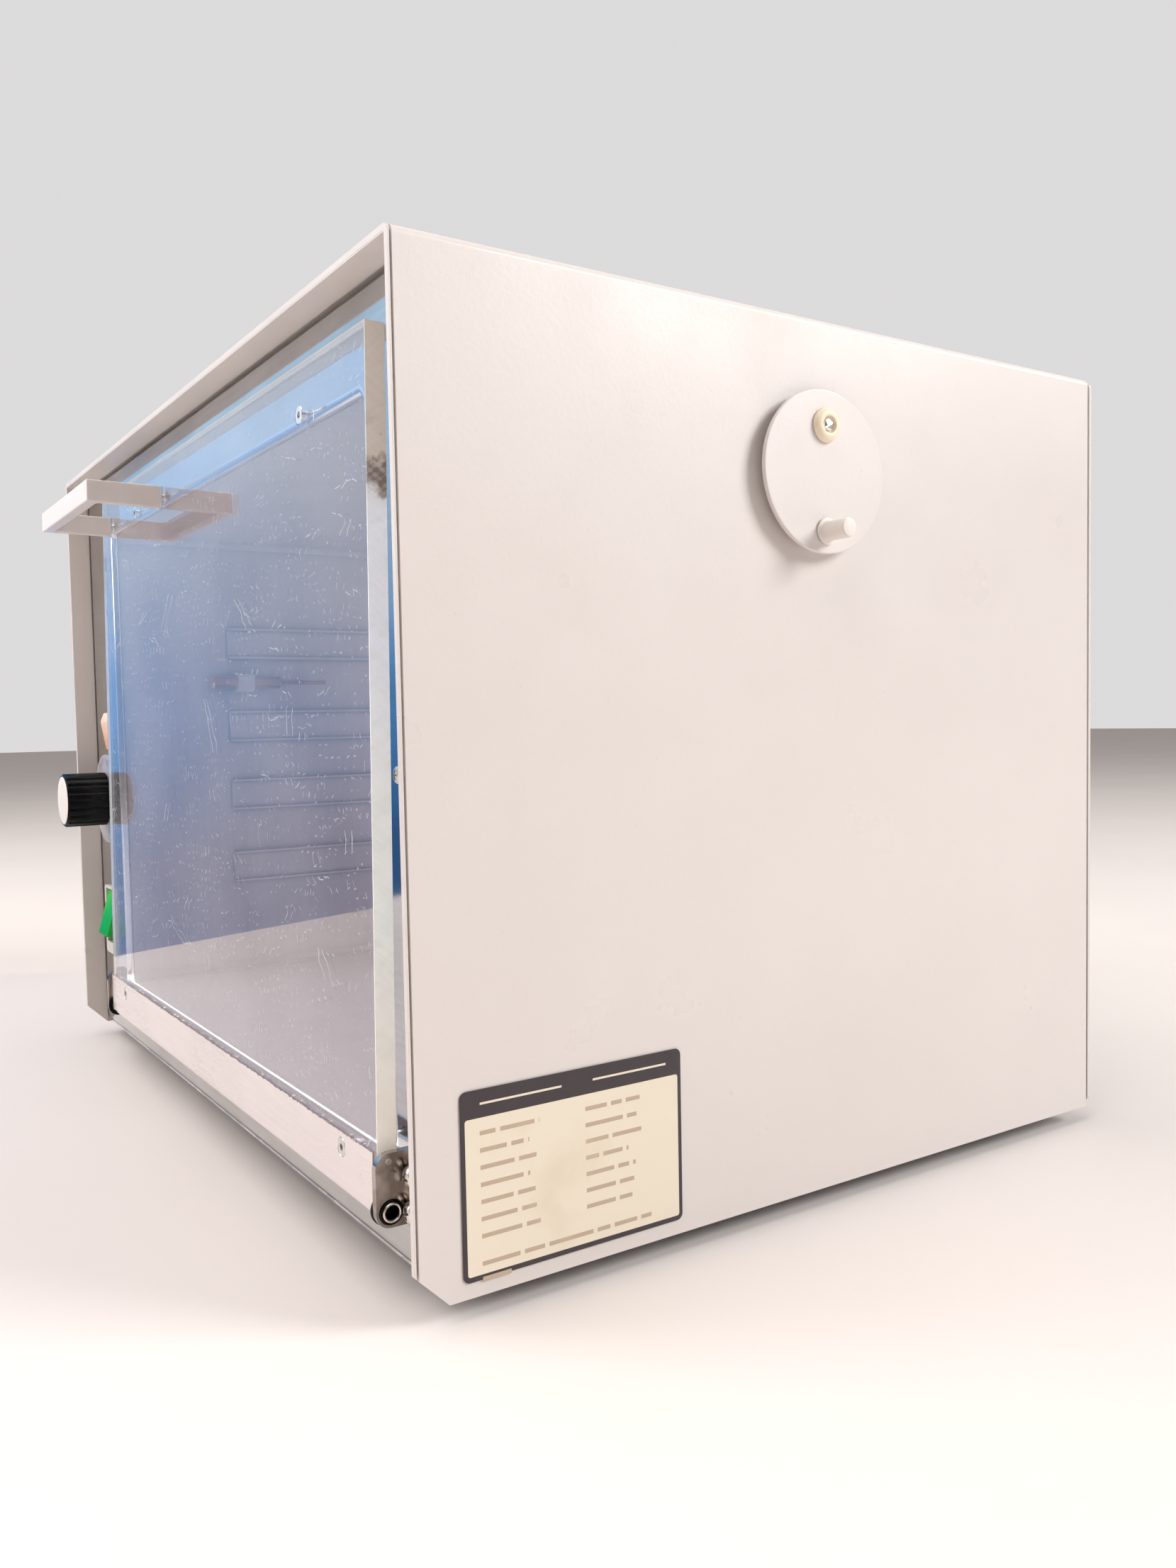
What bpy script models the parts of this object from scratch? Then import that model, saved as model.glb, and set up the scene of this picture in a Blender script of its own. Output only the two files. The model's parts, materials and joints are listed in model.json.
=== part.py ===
"""Bench-top laboratory incubator: painted sheet casing, steel front frame and chamber, clear
drop-down door on two pin hinges, thermostat knob, pilot lamp, rocker switch, and a round
swing cover over the probe port in the right side.

Metres, +Z up, front towards -Y. Fixed pieces are laid out in the casing's own coordinates:
x = 0 at mid width, y = 0 at the casing's front edge, z = 0 at the underside of its sides.
The empty "incubator" shifts all of it, so that the world origin is the bottom centre of the
whole object's box.
"""

import math

import bmesh
import bpy
from mathutils import Matrix, Vector

# Casing
CASE_W, CASE_D, CASE_H = 0.3915, 0.2880, 0.2800
CASE_SHEET = 0.0010
CASE_BEND, LEAST_BEND = 0.0025, 0.0005
FRONT_CORNER_CUT = 0.0093
FOOT_H = 0.0060
FOOT_R = 0.0100

# Painted collar round the casing's front
BEZEL_FRONT, BEZEL_LIP_BACK, BEZEL_BACK = -0.0007, -0.0001, 0.0092
BEZEL_OUT, BEZEL_IN = 0.0013, 0.0021
HOOD_FRONT = 0.0006

# Rear panel and base
REAR_Y0, REAR_Y1 = 0.2891, 0.2903
REAR_Z0, REAR_Z1 = 0.0019, 0.2785
GLAND_END = 0.2981
GLAND_X, GLAND_Z = -0.165, 0.030

# Stainless front frame and chamber
FRAME_Y0, FRAME_Y1 = 0.0095, 0.0105
FRAME_HALF_W, FRAME_Z0, FRAME_Z1 = 0.1929, 0.0022, 0.2774
FRAME_SCREW_X, FRAME_SCREW_Z = 0.1732, 0.1405
WINDOW_TURN_BACK, WINDOW_CORNER = 0.0122, 0.0020
CHAMBER_X0, CHAMBER_X1 = -0.1260, 0.1630
CHAMBER_Z0, CHAMBER_Z1 = 0.0330, 0.2455
CHAMBER_LIP_Y, CHAMBER_BACK_Y = 0.0125, 0.2345
CHAMBER_CORNER = 0.0035
LINER_WALL = 0.0010
RAIL_TOPS = (0.092, 0.128, 0.162, 0.203)
INSULATION_X0, INSULATION_X1 = -0.1340, 0.1900

# Door, in coordinates whose origin is the hinge axis
AXIS_Y, AXIS_Z = 0.0021, 0.0206
DOOR_LEAN = math.radians(0.764)
PANE_X0, PANE_X1 = -0.135, 0.172
PANE_FRONT, PANE_BACK = -0.002175, 0.003775
PANE_Z0, PANE_Z1 = 0.0037, 0.2424
PANE_EDGE, PLATE_CORNER = 0.0002, 0.0004
PLATE_FRONT, PLATE_BACK = -0.0032, -0.00235
PLATE_X0, PLATE_X1, PLATE_Z0, PLATE_Z1 = -0.133, 0.171, -0.0004, 0.0158
PLATE_SCREWS = {"left": (-0.1082, 0.0110), "right": (0.1489, 0.0112)}
PANE_SCREWS = {"left": (-0.0750, 0.2274), "right": (0.1227, 0.2274)}
HANDLE_X0, HANDLE_X1, HANDLE_Z = -0.122, -0.030, 0.2273
HANDLE_THICK, HANDLE_TALL, HANDLE_REACH = 0.0050, 0.0084, 0.0290
RAIL_END, THROUGH = 0.1715, 0.006
SCREW_SHANK_R, SCREW_HOLE_R = 0.0015, 0.0017

# Hinges: the right one, mirrored about the pane's middle for the left
DOOR_MID_X = (PANE_X0 + PANE_X1) / 2
EAR_IN, EAR_OUT, FLANGE_END = 0.1736, 0.1760, 0.1860
EAR_FRONT, EAR_Z0, EAR_Z1 = -0.0023, 0.0162, 0.0371
FLANGE_Y0, FLANGE_Y1 = 0.0068, 0.0092
PIN_R, PIN_TAIL_R, BUSH_R, WASHER_R = 0.00285, 0.0014, 0.0036, 0.00475
BRACKET_SCREW_X = 0.1796
BRACKET_SCREW_Z = {"upper": 0.0305, "lower": 0.0205}

# Controls on the left strip of the frame
CONTROL_X = -0.165
KNOB_Z, KNOB_R, KNOB_FRONT, KNOB_BACK = 0.1195, 0.0132, -0.0140, 0.0059
CAP_R, DISC_R, SHAFT_R = 0.0118, 0.0220, 0.0030
DISC_Y0, DISC_Y1 = 0.0062, 0.0072
LAMP_Z0, LAMP_Z1, LAMP_HALF_W = 0.1439, 0.1625, 0.0068
BEZEL_Z0, BEZEL_Z1, SWITCH_HALF_W = 0.0404, 0.0749, 0.0125
ROCKER_Y, ROCKER_Z, ROCKER_HALF_W = 0.0115, 0.0600, 0.0091
ROCKER_TILT = math.radians(14.7)
SWITCH_BOX_HALF_W, SWITCH_BOX_Z0, SWITCH_BOX_Z1 = 0.0108, 0.0425, 0.0740
STUB_R, STUB_END, BUSHING_R = 0.00135, 0.0105, 0.0051

# Probe port and its cover on the right side
SIDE_X = CASE_W / 2
PORT_Y, PORT_Z, PORT_R = 0.1456, 0.2205, 0.0110
PORT_SLEEVE_R, PORT_FLANGE_R, PORT_HOLE_R = PORT_R + 0.0012, PORT_R + 0.0030, PORT_R + 0.0014
COVER_PIVOT_R, PIVOT_HOLE_R, COVER_PEG_R = 0.00185, 0.0020, 0.0017
PIVOT_Z, PEG_Z, COVER_Z, COVER_R = 0.2453, 0.2124, 0.2310, 0.0255
COVER_X0, COVER_X1 = SIDE_X + 0.0030, SIDE_X + 0.0045
PEG_END = SIDE_X + 0.0147

# Rating plate, one flat label of 74 x 52 mm
LABEL_Y0, LABEL_Y1, LABEL_Z0, LABEL_Z1 = 0.0134, 0.0875, 0.0045, 0.0565

# Gap between parts that touch, and slack round a part that turns
GAP, SLACK = 0.0003, 0.00015

# World origin: bottom centre of the box from the left side to the peg, handle to gland
SHIFT = (-(PEG_END - SIDE_X) / 2, -0.1360, FOOT_H)


def clear_scene():
    for obj in list(bpy.data.objects):
        bpy.data.objects.remove(obj)


def material(name, colour, roughness, metallic=0.0, alpha=1.0):
    made = bpy.data.materials.new(name)
    made.use_nodes = True
    shader = made.node_tree.nodes["Principled BSDF"]
    shader.inputs["Base Color"].default_value = (*colour, 1.0)
    shader.inputs["Roughness"].default_value = roughness
    shader.inputs["Metallic"].default_value = metallic
    shader.inputs["Alpha"].default_value = alpha
    made.diffuse_color = (*colour, alpha)
    return made


def empty(name, parent=None, location=(0, 0, 0), tilt=0.0):
    made = bpy.data.objects.new(name, None)
    bpy.context.scene.collection.objects.link(made)
    made.parent = parent
    made.location = location
    made.rotation_euler.x = tilt
    return made


def to_mesh(shape):
    mesh = bpy.data.meshes.new("shape")
    shape.to_mesh(mesh)
    shape.free()
    return mesh


def part(name, shape, look, parent, location=(0, 0, 0), turn=0.0):
    """One sub-part from a bmesh, turned about its own vertical and set under its parent."""
    mesh = to_mesh(shape)
    mesh.name = name
    mesh.shade_smooth()
    mesh.set_sharp_from_angle(angle=math.radians(32))
    mesh.materials.append(look)
    made = bpy.data.objects.new(name, mesh)
    bpy.context.scene.collection.objects.link(made)
    made.parent = parent
    made.location = location
    made.rotation_euler.z = turn
    return made


def point(axis, u, v, along):
    """The two coordinates across an axis, and the one along it, as x, y, z."""
    return {"x": (along, u, v), "y": (u, along, v), "z": (u, v, along)}[axis]


def circle(u, v, radius, segments=16):
    angles = [2 * math.pi * i / segments for i in range(segments)]
    return [(u + radius * math.cos(a), v + radius * math.sin(a)) for a in angles]


def rectangle(u0, u1, v0, v1, radius=0.0, steps=2):
    corners = [(u0, v0, radius), (u1, v0, radius), (u1, v1, radius), (u0, v1, radius)]
    return rounded(corners, steps)


def rounded(corners, steps=3):
    """An outline through (u, v, radius) corners, each with a radius drawn as an arc."""
    outline = []
    for i, (u, v, radius) in enumerate(corners):
        corner = Vector((u, v))
        if radius == 0:
            outline.append(corner)
            continue
        before = (Vector(corners[i - 1][:2]) - corner).normalized()
        after = (Vector(corners[(i + 1) % len(corners)][:2]) - corner).normalized()
        half = before.angle(after) / 2
        centre = corner + (before + after).normalized() * radius / math.sin(half)
        start = corner + before * radius / math.tan(half) - centre
        end = corner + after * radius / math.tan(half) - centre
        sweep = start.angle_signed(end)
        for step in range(steps + 1):
            outline.append(centre + Matrix.Rotation(-sweep * step / steps, 2) @ start)
    return outline


def prism(outline, axis, low, high):
    """A bar along an axis, its section given by the other two coordinates."""
    shape = bmesh.new()
    ends = [[shape.verts.new(point(axis, u, v, w)) for u, v in outline] for w in (low, high)]
    shape.faces.new(ends[0])
    shape.faces.new(ends[1])
    for i in range(len(outline)):
        j = (i + 1) % len(outline)
        shape.faces.new((ends[0][i], ends[0][j], ends[1][j], ends[1][i]))
    bmesh.ops.recalc_face_normals(shape, faces=shape.faces)
    return shape


def turned(profile, axis, u=0.0, v=0.0, segments=18):
    """A turned solid: (radius, along) points that start and end on the axis, or that
    close on themselves round a hole."""
    shape = bmesh.new()
    rings = []
    for radius, along in profile:
        ring = [(u, v)] if radius == 0 else circle(u, v, radius, segments)
        rings.append([shape.verts.new(point(axis, *place, along)) for place in ring])
    pairs = list(zip(rings, rings[1:]))
    if profile[0][0] > 0:
        pairs.append((rings[-1], rings[0]))
    for first, second in pairs:
        for i in range(segments):
            j = (i + 1) % segments
            corners = [first[i % len(first)], first[j % len(first)]]
            corners += [second[j % len(second)], second[i % len(second)]]
            shape.faces.new(list(dict.fromkeys(corners)))
    bmesh.ops.recalc_face_normals(shape, faces=shape.faces)
    return shape


def hole(axis, u, v, radius, low, high, segments=16):
    return prism(circle(u, v, radius, segments), axis, low, high)


def combine(operation, shape, others):
    """Apply Booleans to a bmesh in the shared coordinates, and return the result."""
    scene = bpy.context.scene.collection.objects
    target = bpy.data.objects.new("target", to_mesh(shape))
    scene.link(target)
    tools = [bpy.data.objects.new("tool", to_mesh(other)) for other in others]
    for tool in tools:
        scene.link(tool)
        modifier = target.modifiers.new("combine", "BOOLEAN")
        modifier.operation = operation
        modifier.solver = "EXACT"
        modifier.object = tool
    graph = bpy.context.evaluated_depsgraph_get()
    result = bmesh.new()
    result.from_mesh(target.evaluated_get(graph).to_mesh())
    for used in [target, *tools]:
        bpy.data.objects.remove(used)
    return result


def cut(shape, *others):
    return combine("DIFFERENCE", shape, others)


def join(shape, *others):
    return combine("UNION", shape, others)


def soften(shape, width, segments=2, angle=50):
    """Round every edge sharper than the angle."""
    sharp = [e for e in shape.edges if e.calc_face_angle(0) > math.radians(angle)]
    bmesh.ops.bevel(shape, geom=sharp, offset=width, segments=segments, profile=0.5,
                    affect="EDGES", clamp_overlap=True)
    return shape


def arch(outer_inset, inner_inset, low, high, floor=0.0):
    """A folded strip: left side, top and right side of the casing, as one bar along Y."""
    sides = []
    for inset in (outer_inset, inner_inset):
        x, z, turn = CASE_W / 2 - inset, CASE_H - inset, max(CASE_BEND - inset, LEAST_BEND)
        sides.append([(-x, floor, 0), (-x, z, turn), (x, z, turn), (x, floor, 0)])
    return prism(rounded(sides[0] + sides[1][::-1]), "y", low, high)


def front_corner_cutter():
    """The 45 degree cut across the lower front corners of both sides."""
    reach = 0.003
    end = FRONT_CORNER_CUT + reach
    return prism([(-reach, -reach), (end, -reach), (-reach, end)], "x", -CASE_W, CASE_W)


# Casing


def hood_shell(look, parent):
    inside, outside = SIDE_X - 3 * CASE_SHEET, SIDE_X + CASE_SHEET
    port_hole = hole("x", PORT_Y, PORT_Z, PORT_HOLE_R, inside, outside, 24)
    pivot_hole = hole("x", PORT_Y, PIVOT_Z, PIVOT_HOLE_R, inside, outside)
    shape = arch(0.0, CASE_SHEET, HOOD_FRONT, CASE_D)
    shape = cut(shape, front_corner_cutter(), port_hole, pivot_hole)
    return part("hood_shell", shape, look, parent)


def front_bezel(look, parent):
    set_back, below = 0.0001, -0.001
    lip = arch(0.0, (BEZEL_OUT + BEZEL_IN) / 2, BEZEL_FRONT, BEZEL_LIP_BACK)
    body = arch(BEZEL_OUT, BEZEL_IN, BEZEL_FRONT + set_back, BEZEL_BACK, below)
    shape = cut(join(lip, body), front_corner_cutter())
    return part("front_bezel", shape, look, parent)


def rear_panel(look, parent):
    """Flat panel with a hole for the lead and five vent slots behind the controls."""
    gland_hole_r, corner = 0.0062, 0.0015
    slot_half, slot_tall, slot_pitch, slot_z, slot_corner = 0.017, 0.003, 0.008, 0.190, 0.0014
    before, behind = REAR_Y0 - 0.004, REAR_Y1 + 0.004
    cutters = [hole("y", GLAND_X, GLAND_Z, gland_hole_r, before, behind)]
    for i in range(5):
        z = slot_z + slot_pitch * i
        slot = rectangle(CONTROL_X - slot_half, CONTROL_X + slot_half, z, z + slot_tall, slot_corner)
        cutters.append(prism(slot, "y", before, behind))
    outline = rectangle(-SIDE_X, SIDE_X, REAR_Z0, REAR_Z1, corner)
    shape = cut(prism(outline, "y", REAR_Y0, REAR_Y1), *cutters)
    return part("rear_panel", shape, look, parent)


def base_pan(look, parent):
    half, wall, floor, top, front, back = 0.1943, 0.0010, 0.0006, 0.014, 0.0110, 0.2876
    bend = wall + 0.0002
    outer = [(-half, top, 0), (-half, floor, bend), (half, floor, bend), (half, top, 0)]
    inner = [(half - wall, top, 0), (half - wall, floor + wall, bend / 3)]
    inner += [(wall - half, floor + wall, bend / 3), (wall - half, top, 0)]
    shape = prism(rounded(outer + inner), "y", front, back)
    return part("base_pan", shape, look, parent)


def feet(look, parent):
    straight, taper, apart = -0.0035, 0.002, 0.165
    profile = [(0, GAP), (FOOT_R, GAP), (FOOT_R, straight), (FOOT_R - taper, -FOOT_H), (0, -FOOT_H)]
    for side, x in (("left", -apart), ("right", apart)):
        for end, y in (("front", 0.035), ("rear", 0.255)):
            part(f"foot_{end}_{side}", turned(profile, "z"), look, parent, (x, y, 0))


def rating_plate(look, parent):
    corner, glue, thick = 0.002, 0.0002, 0.00025
    outline = rectangle(LABEL_Y0, LABEL_Y1, LABEL_Z0, LABEL_Z1, corner)
    shape = prism(outline, "x", SIDE_X + glue, SIDE_X + glue + thick)
    return part("rating_plate", shape, look, parent)


def cable_gland(look, parent):
    """The lead's way in: a hexagonal collar outside, a domed nose and a sleeve inside."""
    hexagon_r, collar_end, nose_r, nose_tip_r, shoulder = 0.0095, 0.2938, 0.0078, 0.0060, 0.2960
    sleeve_r, bore_r, inner_end, overlap = 0.0058, 0.0040, 0.2780, 0.2930
    collar = prism(circle(GLAND_X, GLAND_Z, hexagon_r, 6), "y", REAR_Y1 + GAP, collar_end)
    nose = [(0, overlap), (nose_r, overlap), (nose_r, shoulder), (nose_tip_r, GLAND_END), (0, GLAND_END)]
    sleeve = hole("y", GLAND_X, GLAND_Z, sleeve_r, inner_end, overlap)
    bore = hole("y", GLAND_X, GLAND_Z, bore_r, inner_end - 0.01, GLAND_END + 0.01)
    shape = cut(join(collar, turned(nose, "y", GLAND_X, GLAND_Z), sleeve), bore)
    return part("cable_gland", shape, look, parent)


# Frame, chamber and what is round it


def window_outline(margin, corner):
    return rectangle(CHAMBER_X0 - margin, CHAMBER_X1 + margin, CHAMBER_Z0 - margin,
                     CHAMBER_Z1 + margin, corner)


def front_frame(look, parent):
    """Sheet folded back along its top and foot, its window's edges turned in towards the liner."""
    sheet, reach, fold = FRAME_Y1 - FRAME_Y0, 0.026, 0.002
    outer = [(reach, FRAME_Z0, 0), (FRAME_Y0, FRAME_Z0, fold)]
    outer += [(FRAME_Y0, FRAME_Z1, fold), (reach, FRAME_Z1, 0)]
    inner = [(reach, FRAME_Z1 - sheet, 0), (FRAME_Y1, FRAME_Z1 - sheet, fold - sheet)]
    inner += [(FRAME_Y1, FRAME_Z0 + sheet, fold - sheet), (reach, FRAME_Z0 + sheet, 0)]
    shape = prism(rounded(outer + inner), "x", -FRAME_HALF_W, FRAME_HALF_W)
    turn = prism(window_outline(sheet, WINDOW_CORNER + sheet), "y", FRAME_Y0 + GAP, WINDOW_TURN_BACK)
    before, behind = FRAME_Y0 - 0.004, WINDOW_TURN_BACK + 0.004
    lamp = rectangle(CONTROL_X - LAMP_HALF_W - GAP, CONTROL_X + LAMP_HALF_W + GAP, LAMP_Z0 - GAP,
                     LAMP_Z1 + GAP)
    switch = rectangle(CONTROL_X - SWITCH_BOX_HALF_W - GAP, CONTROL_X + SWITCH_BOX_HALF_W + GAP,
                       SWITCH_BOX_Z0 - GAP, SWITCH_BOX_Z1 + GAP)
    outlines = (window_outline(0.0, WINDOW_CORNER), lamp, switch)
    cutters = [prism(outline, "y", before, behind) for outline in outlines]
    cutters.append(hole("y", CONTROL_X, KNOB_Z, BUSHING_R + SLACK, before, behind))
    cutters.append(hole("y", FRAME_SCREW_X, FRAME_SCREW_Z, SCREW_HOLE_R, before, behind, 8))
    for z in BRACKET_SCREW_Z.values():
        for x in (BRACKET_SCREW_X, 2 * DOOR_MID_X - BRACKET_SCREW_X):
            cutters.append(hole("y", x, z, SCREW_HOLE_R, before, behind, 8))
    return part("front_frame", cut(join(shape, turn), *cutters), look, parent)


def chamber_liner(look, parent):
    wall = LINER_WALL
    outer = window_outline(wall, CHAMBER_CORNER + wall)
    inner = window_outline(0.0, CHAMBER_CORNER)
    port_hole = hole("x", PORT_Y, PORT_Z, PORT_HOLE_R, CHAMBER_X1 - 2 * wall, CHAMBER_X1 + 2 * wall, 24)
    shape = prism(outer, "y", CHAMBER_LIP_Y, CHAMBER_BACK_Y + wall)
    shape = cut(shape, prism(inner, "y", 0.0, CHAMBER_BACK_Y), port_hole)
    return part("chamber_liner", shape, look, parent)


def insulation(look, parent):
    """Glass wool on five sides of the chamber, open to the front, with the port bored in."""
    gap, mat_room, front, back, low, high = LINER_WALL + 0.0005, 0.002, 0.0270, 0.2870, 0.0050, 0.2755
    outer = rectangle(INSULATION_X0, INSULATION_X1, low, high)
    inner = rectangle(CHAMBER_X0 - gap, CHAMBER_X1 + gap, CHAMBER_Z0 - gap - mat_room,
                      CHAMBER_Z1 + gap)
    port_bore = hole("x", PORT_Y, PORT_Z, PORT_HOLE_R, CHAMBER_X1, SIDE_X, 24)
    shape = cut(prism(outer, "y", front, back), prism(inner, "y", 0.0, CHAMBER_BACK_Y + gap), port_bore)
    return part("insulation", shape, look, parent)


def heater_mat(look, parent):
    top, thick, margin, corner = CHAMBER_Z0 - LINER_WALL - GAP, 0.0012, 0.022, 0.006
    front, back = CHAMBER_LIP_Y + margin, CHAMBER_BACK_Y - margin
    outline = rectangle(CHAMBER_X0 + margin, CHAMBER_X1 - margin, front, back, corner)
    return part("heater_mat", prism(outline, "z", top - thick, top), look, parent)


def shelf_rails(look, parent):
    """Four channels up each side wall, for a shelf to slide on, joined by an upright at the back."""
    deep, tall, lip, front, upright, back = 0.0035, 0.015, 0.0010, 0.062, 0.220, 0.228
    for side, wall, inward in (("left", CHAMBER_X0, 1), ("right", CHAMBER_X1, -1)):
        near, far = wall + inward * GAP, wall + inward * deep
        shelf = near + inward * lip
        strip = rectangle(min(near, shelf), max(near, shelf), RAIL_TOPS[0] - lip, RAIL_TOPS[-1] - lip)
        rails = [prism(strip, "y", upright, back)]
        for top in RAIL_TOPS:
            outline = [(near, top - tall), (far, top - tall), (far, top - tall + lip)]
            outline += [(shelf, top - tall + lip), (shelf, top - lip), (far, top - lip)]
            outline += [(far, top), (near, top)]
            rails.append(prism(outline, "y", front, back))
        part(f"shelf_rails_{side}", join(*rails), look, parent)


def sensor(bulb_look, clip_look, parent):
    """Thermostat bulb on the left wall, its capillary leading back, and the clip over it."""
    x, z, bulb_r, tube_r, front, neck, end = CHAMBER_X0 + 0.006, 0.176, 0.0030, 0.0010, 0.052, 0.086, 0.110
    profile = [(0, front), (bulb_r - 0.001, front), (bulb_r, front + 0.001), (bulb_r, neck)]
    profile += [(tube_r, neck + 0.002), (tube_r, end), (0, end)]
    part("sensor_bulb", turned(profile, "y", x, z, 12), bulb_look, parent)
    half, corner, clip_front, clip_back = 0.0045, 0.002, 0.064, 0.072
    outline = rectangle(CHAMBER_X0 + GAP, x + half, z - half, z + half, corner)
    bore = hole("y", x, z, bulb_r + 0.0002, front, neck, 12)
    band = cut(prism(outline, "y", clip_front, clip_back), bore)
    part("sensor_clip", band, clip_look, parent)


# Door, about the hinge axis


def screw_hole(x, z, front, through, wide=0.0030, narrow=0.00165, seat=0.0014, clear=0.003):
    """A countersunk clearance hole whose mouth is at y = front."""
    way = 1 if through > front else -1
    profile = [(0, front - way * clear), (wide, front - way * clear), (wide, front)]
    profile += [(narrow, front + way * seat), (narrow, through), (0, through)]
    return turned(profile, "y", x, z, 12)


def countersunk_screw(length, head_r=0.00275, shank_r=SCREW_SHANK_R, head=0.0014):
    """Flat head facing -Y with a hexagon socket, origin at the middle of the head's face."""
    tip, rim, socket_deep = 0.0006, 0.0002, 0.0011
    profile = [(0, 0), (head_r, 0), (head_r, rim), (shank_r, head), (shank_r, length - tip)]
    profile += [(shank_r - tip, length), (0, length)]
    socket = prism(circle(0, 0, head_r * 0.42, 6), "y", -head, socket_deep)
    return cut(turned(profile, "y", segments=12), socket)


def pan_screw(length, head_r=0.0031, shank_r=SCREW_SHANK_R, head=0.0022):
    """Domed head towards -Y with a cross recess, origin where the head meets its seat."""
    profile = [(0, -head), (head_r * 0.55, -head), (head_r * 0.88, -head * 0.72), (head_r, -head * 0.3)]
    profile += [(head_r, 0), (shank_r, 0), (shank_r, length), (0, length)]
    arm, blade, floor = head_r * 0.55, head_r * 0.13, -head * 0.45
    recess = join(prism(rectangle(-arm, arm, -blade, blade), "y", -2 * head, floor),
                  prism(rectangle(-blade, blade, -arm, arm), "y", -2 * head, floor))
    return cut(turned(profile, "y", segments=12), recess)


def door_pane(look, parent):
    shape = prism(rectangle(PANE_X0, PANE_X1, PANE_Z0, PANE_Z1), "y", PANE_FRONT, PANE_BACK)
    cutters = [screw_hole(x, z, PLATE_FRONT, THROUGH) for x, z in PLATE_SCREWS.values()]
    cutters += [screw_hole(x, z, PANE_FRONT, THROUGH) for x, z in PANE_SCREWS.values()]
    cutters += [screw_hole(x, HANDLE_Z, PANE_BACK, -THROUGH) for x in handle_legs().values()]
    return part("door_pane", cut(soften(shape, PANE_EDGE, 1), *cutters), look, parent)


def door_bottom_plate(look, parent):
    outline = rectangle(PLATE_X0, PLATE_X1, PLATE_Z0, PLATE_Z1, PLATE_CORNER, 1)
    cutters = [screw_hole(x, z, PLATE_FRONT, THROUGH) for x, z in PLATE_SCREWS.values()]
    shape = cut(prism(outline, "y", PLATE_FRONT, PLATE_BACK), *cutters)
    return part("door_bottom_plate", shape, look, parent)


def door_hinge_rail(look, parent):
    """Bar under the pane that takes the pins, with a thin leg up its back."""
    front, back, foot, shelf = -0.00205, 0.0054, -0.0030, 0.0032
    leg_front, leg_top, socket, beyond = 0.00405, 0.0154, 0.0115, 0.002
    corners = [(front, shelf, 0), (front, foot, 0.0012), (back, foot, 0.0020)]
    corners += [(back, leg_top, 0), (leg_front, leg_top, 0), (leg_front, shelf, 0)]
    x0, x1 = 2 * DOOR_MID_X - RAIL_END, RAIL_END
    cutters = [hole("y", x, z, SCREW_SHANK_R + SLACK, 0.0, FLANGE_Y1, 12) for x, z in PLATE_SCREWS.values()]
    for low, high in ((x0 - beyond, x0 + socket), (x1 - socket, x1 + beyond)):
        cutters.append(hole("x", 0, 0, PIN_TAIL_R + SLACK, low, high, 12))
    shape = cut(prism(rounded(corners), "x", x0, x1), *cutters)
    return part("door_hinge_rail", shape, look, parent)


def handle_legs():
    inset = HANDLE_THICK / 2
    return {"left": HANDLE_X0 + inset, "right": HANDLE_X1 - inset}


def door_handle(look, parent):
    """Flat U of constant section, its legs against the pane."""
    glue, edge, thread, thread_r = 0.0002, 0.0005, 0.0110, 0.0014
    back, front = PANE_FRONT - glue, PANE_FRONT - HANDLE_REACH
    inner = front + HANDLE_THICK
    x0, x1, wall = HANDLE_X0, HANDLE_X1, HANDLE_THICK
    corners = [(x0, back), (x0, front), (x1, front), (x1, back), (x1 - wall, back)]
    corners += [(x1 - wall, inner), (x0 + wall, inner), (x0 + wall, back)]
    low, high = HANDLE_Z - HANDLE_TALL / 2, HANDLE_Z + HANDLE_TALL / 2
    holes = [hole("y", x, HANDLE_Z, thread_r, back - thread, 0.0, 12) for x in handle_legs().values()]
    shape = cut(soften(prism(corners, "z", low, high), edge), *holes)
    return part("door_handle", shape, look, parent)


def door_screws(look, parent):
    plate_length, pane_length, handle_length, handle_shank_r = 0.0083, 0.0057, 0.0130, 0.00125
    for side, (x, z) in PLATE_SCREWS.items():
        part(f"plate_screw_{side}", countersunk_screw(plate_length), look, parent, (x, PLATE_FRONT, z))
    for side, (x, z) in PANE_SCREWS.items():
        part(f"pane_screw_{side}", countersunk_screw(pane_length), look, parent, (x, PANE_FRONT, z))
    for side, x in handle_legs().items():
        screw = countersunk_screw(handle_length, shank_r=handle_shank_r)
        part(f"handle_screw_{side}", screw, look, parent, (x, PANE_BACK, HANDLE_Z), math.pi)


# Hinges


def mirrored(shape, side):
    """The right hand piece as it is, or the left hand one, mirrored about the door's middle."""
    if side == "left":
        flip = Matrix.Translation((2 * DOOR_MID_X, 0, 0)) @ Matrix.Diagonal((-1, 1, 1, 1))
        bmesh.ops.transform(shape, matrix=flip, verts=shape.verts)
        bmesh.ops.reverse_faces(shape, faces=shape.faces)
    return shape


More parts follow.
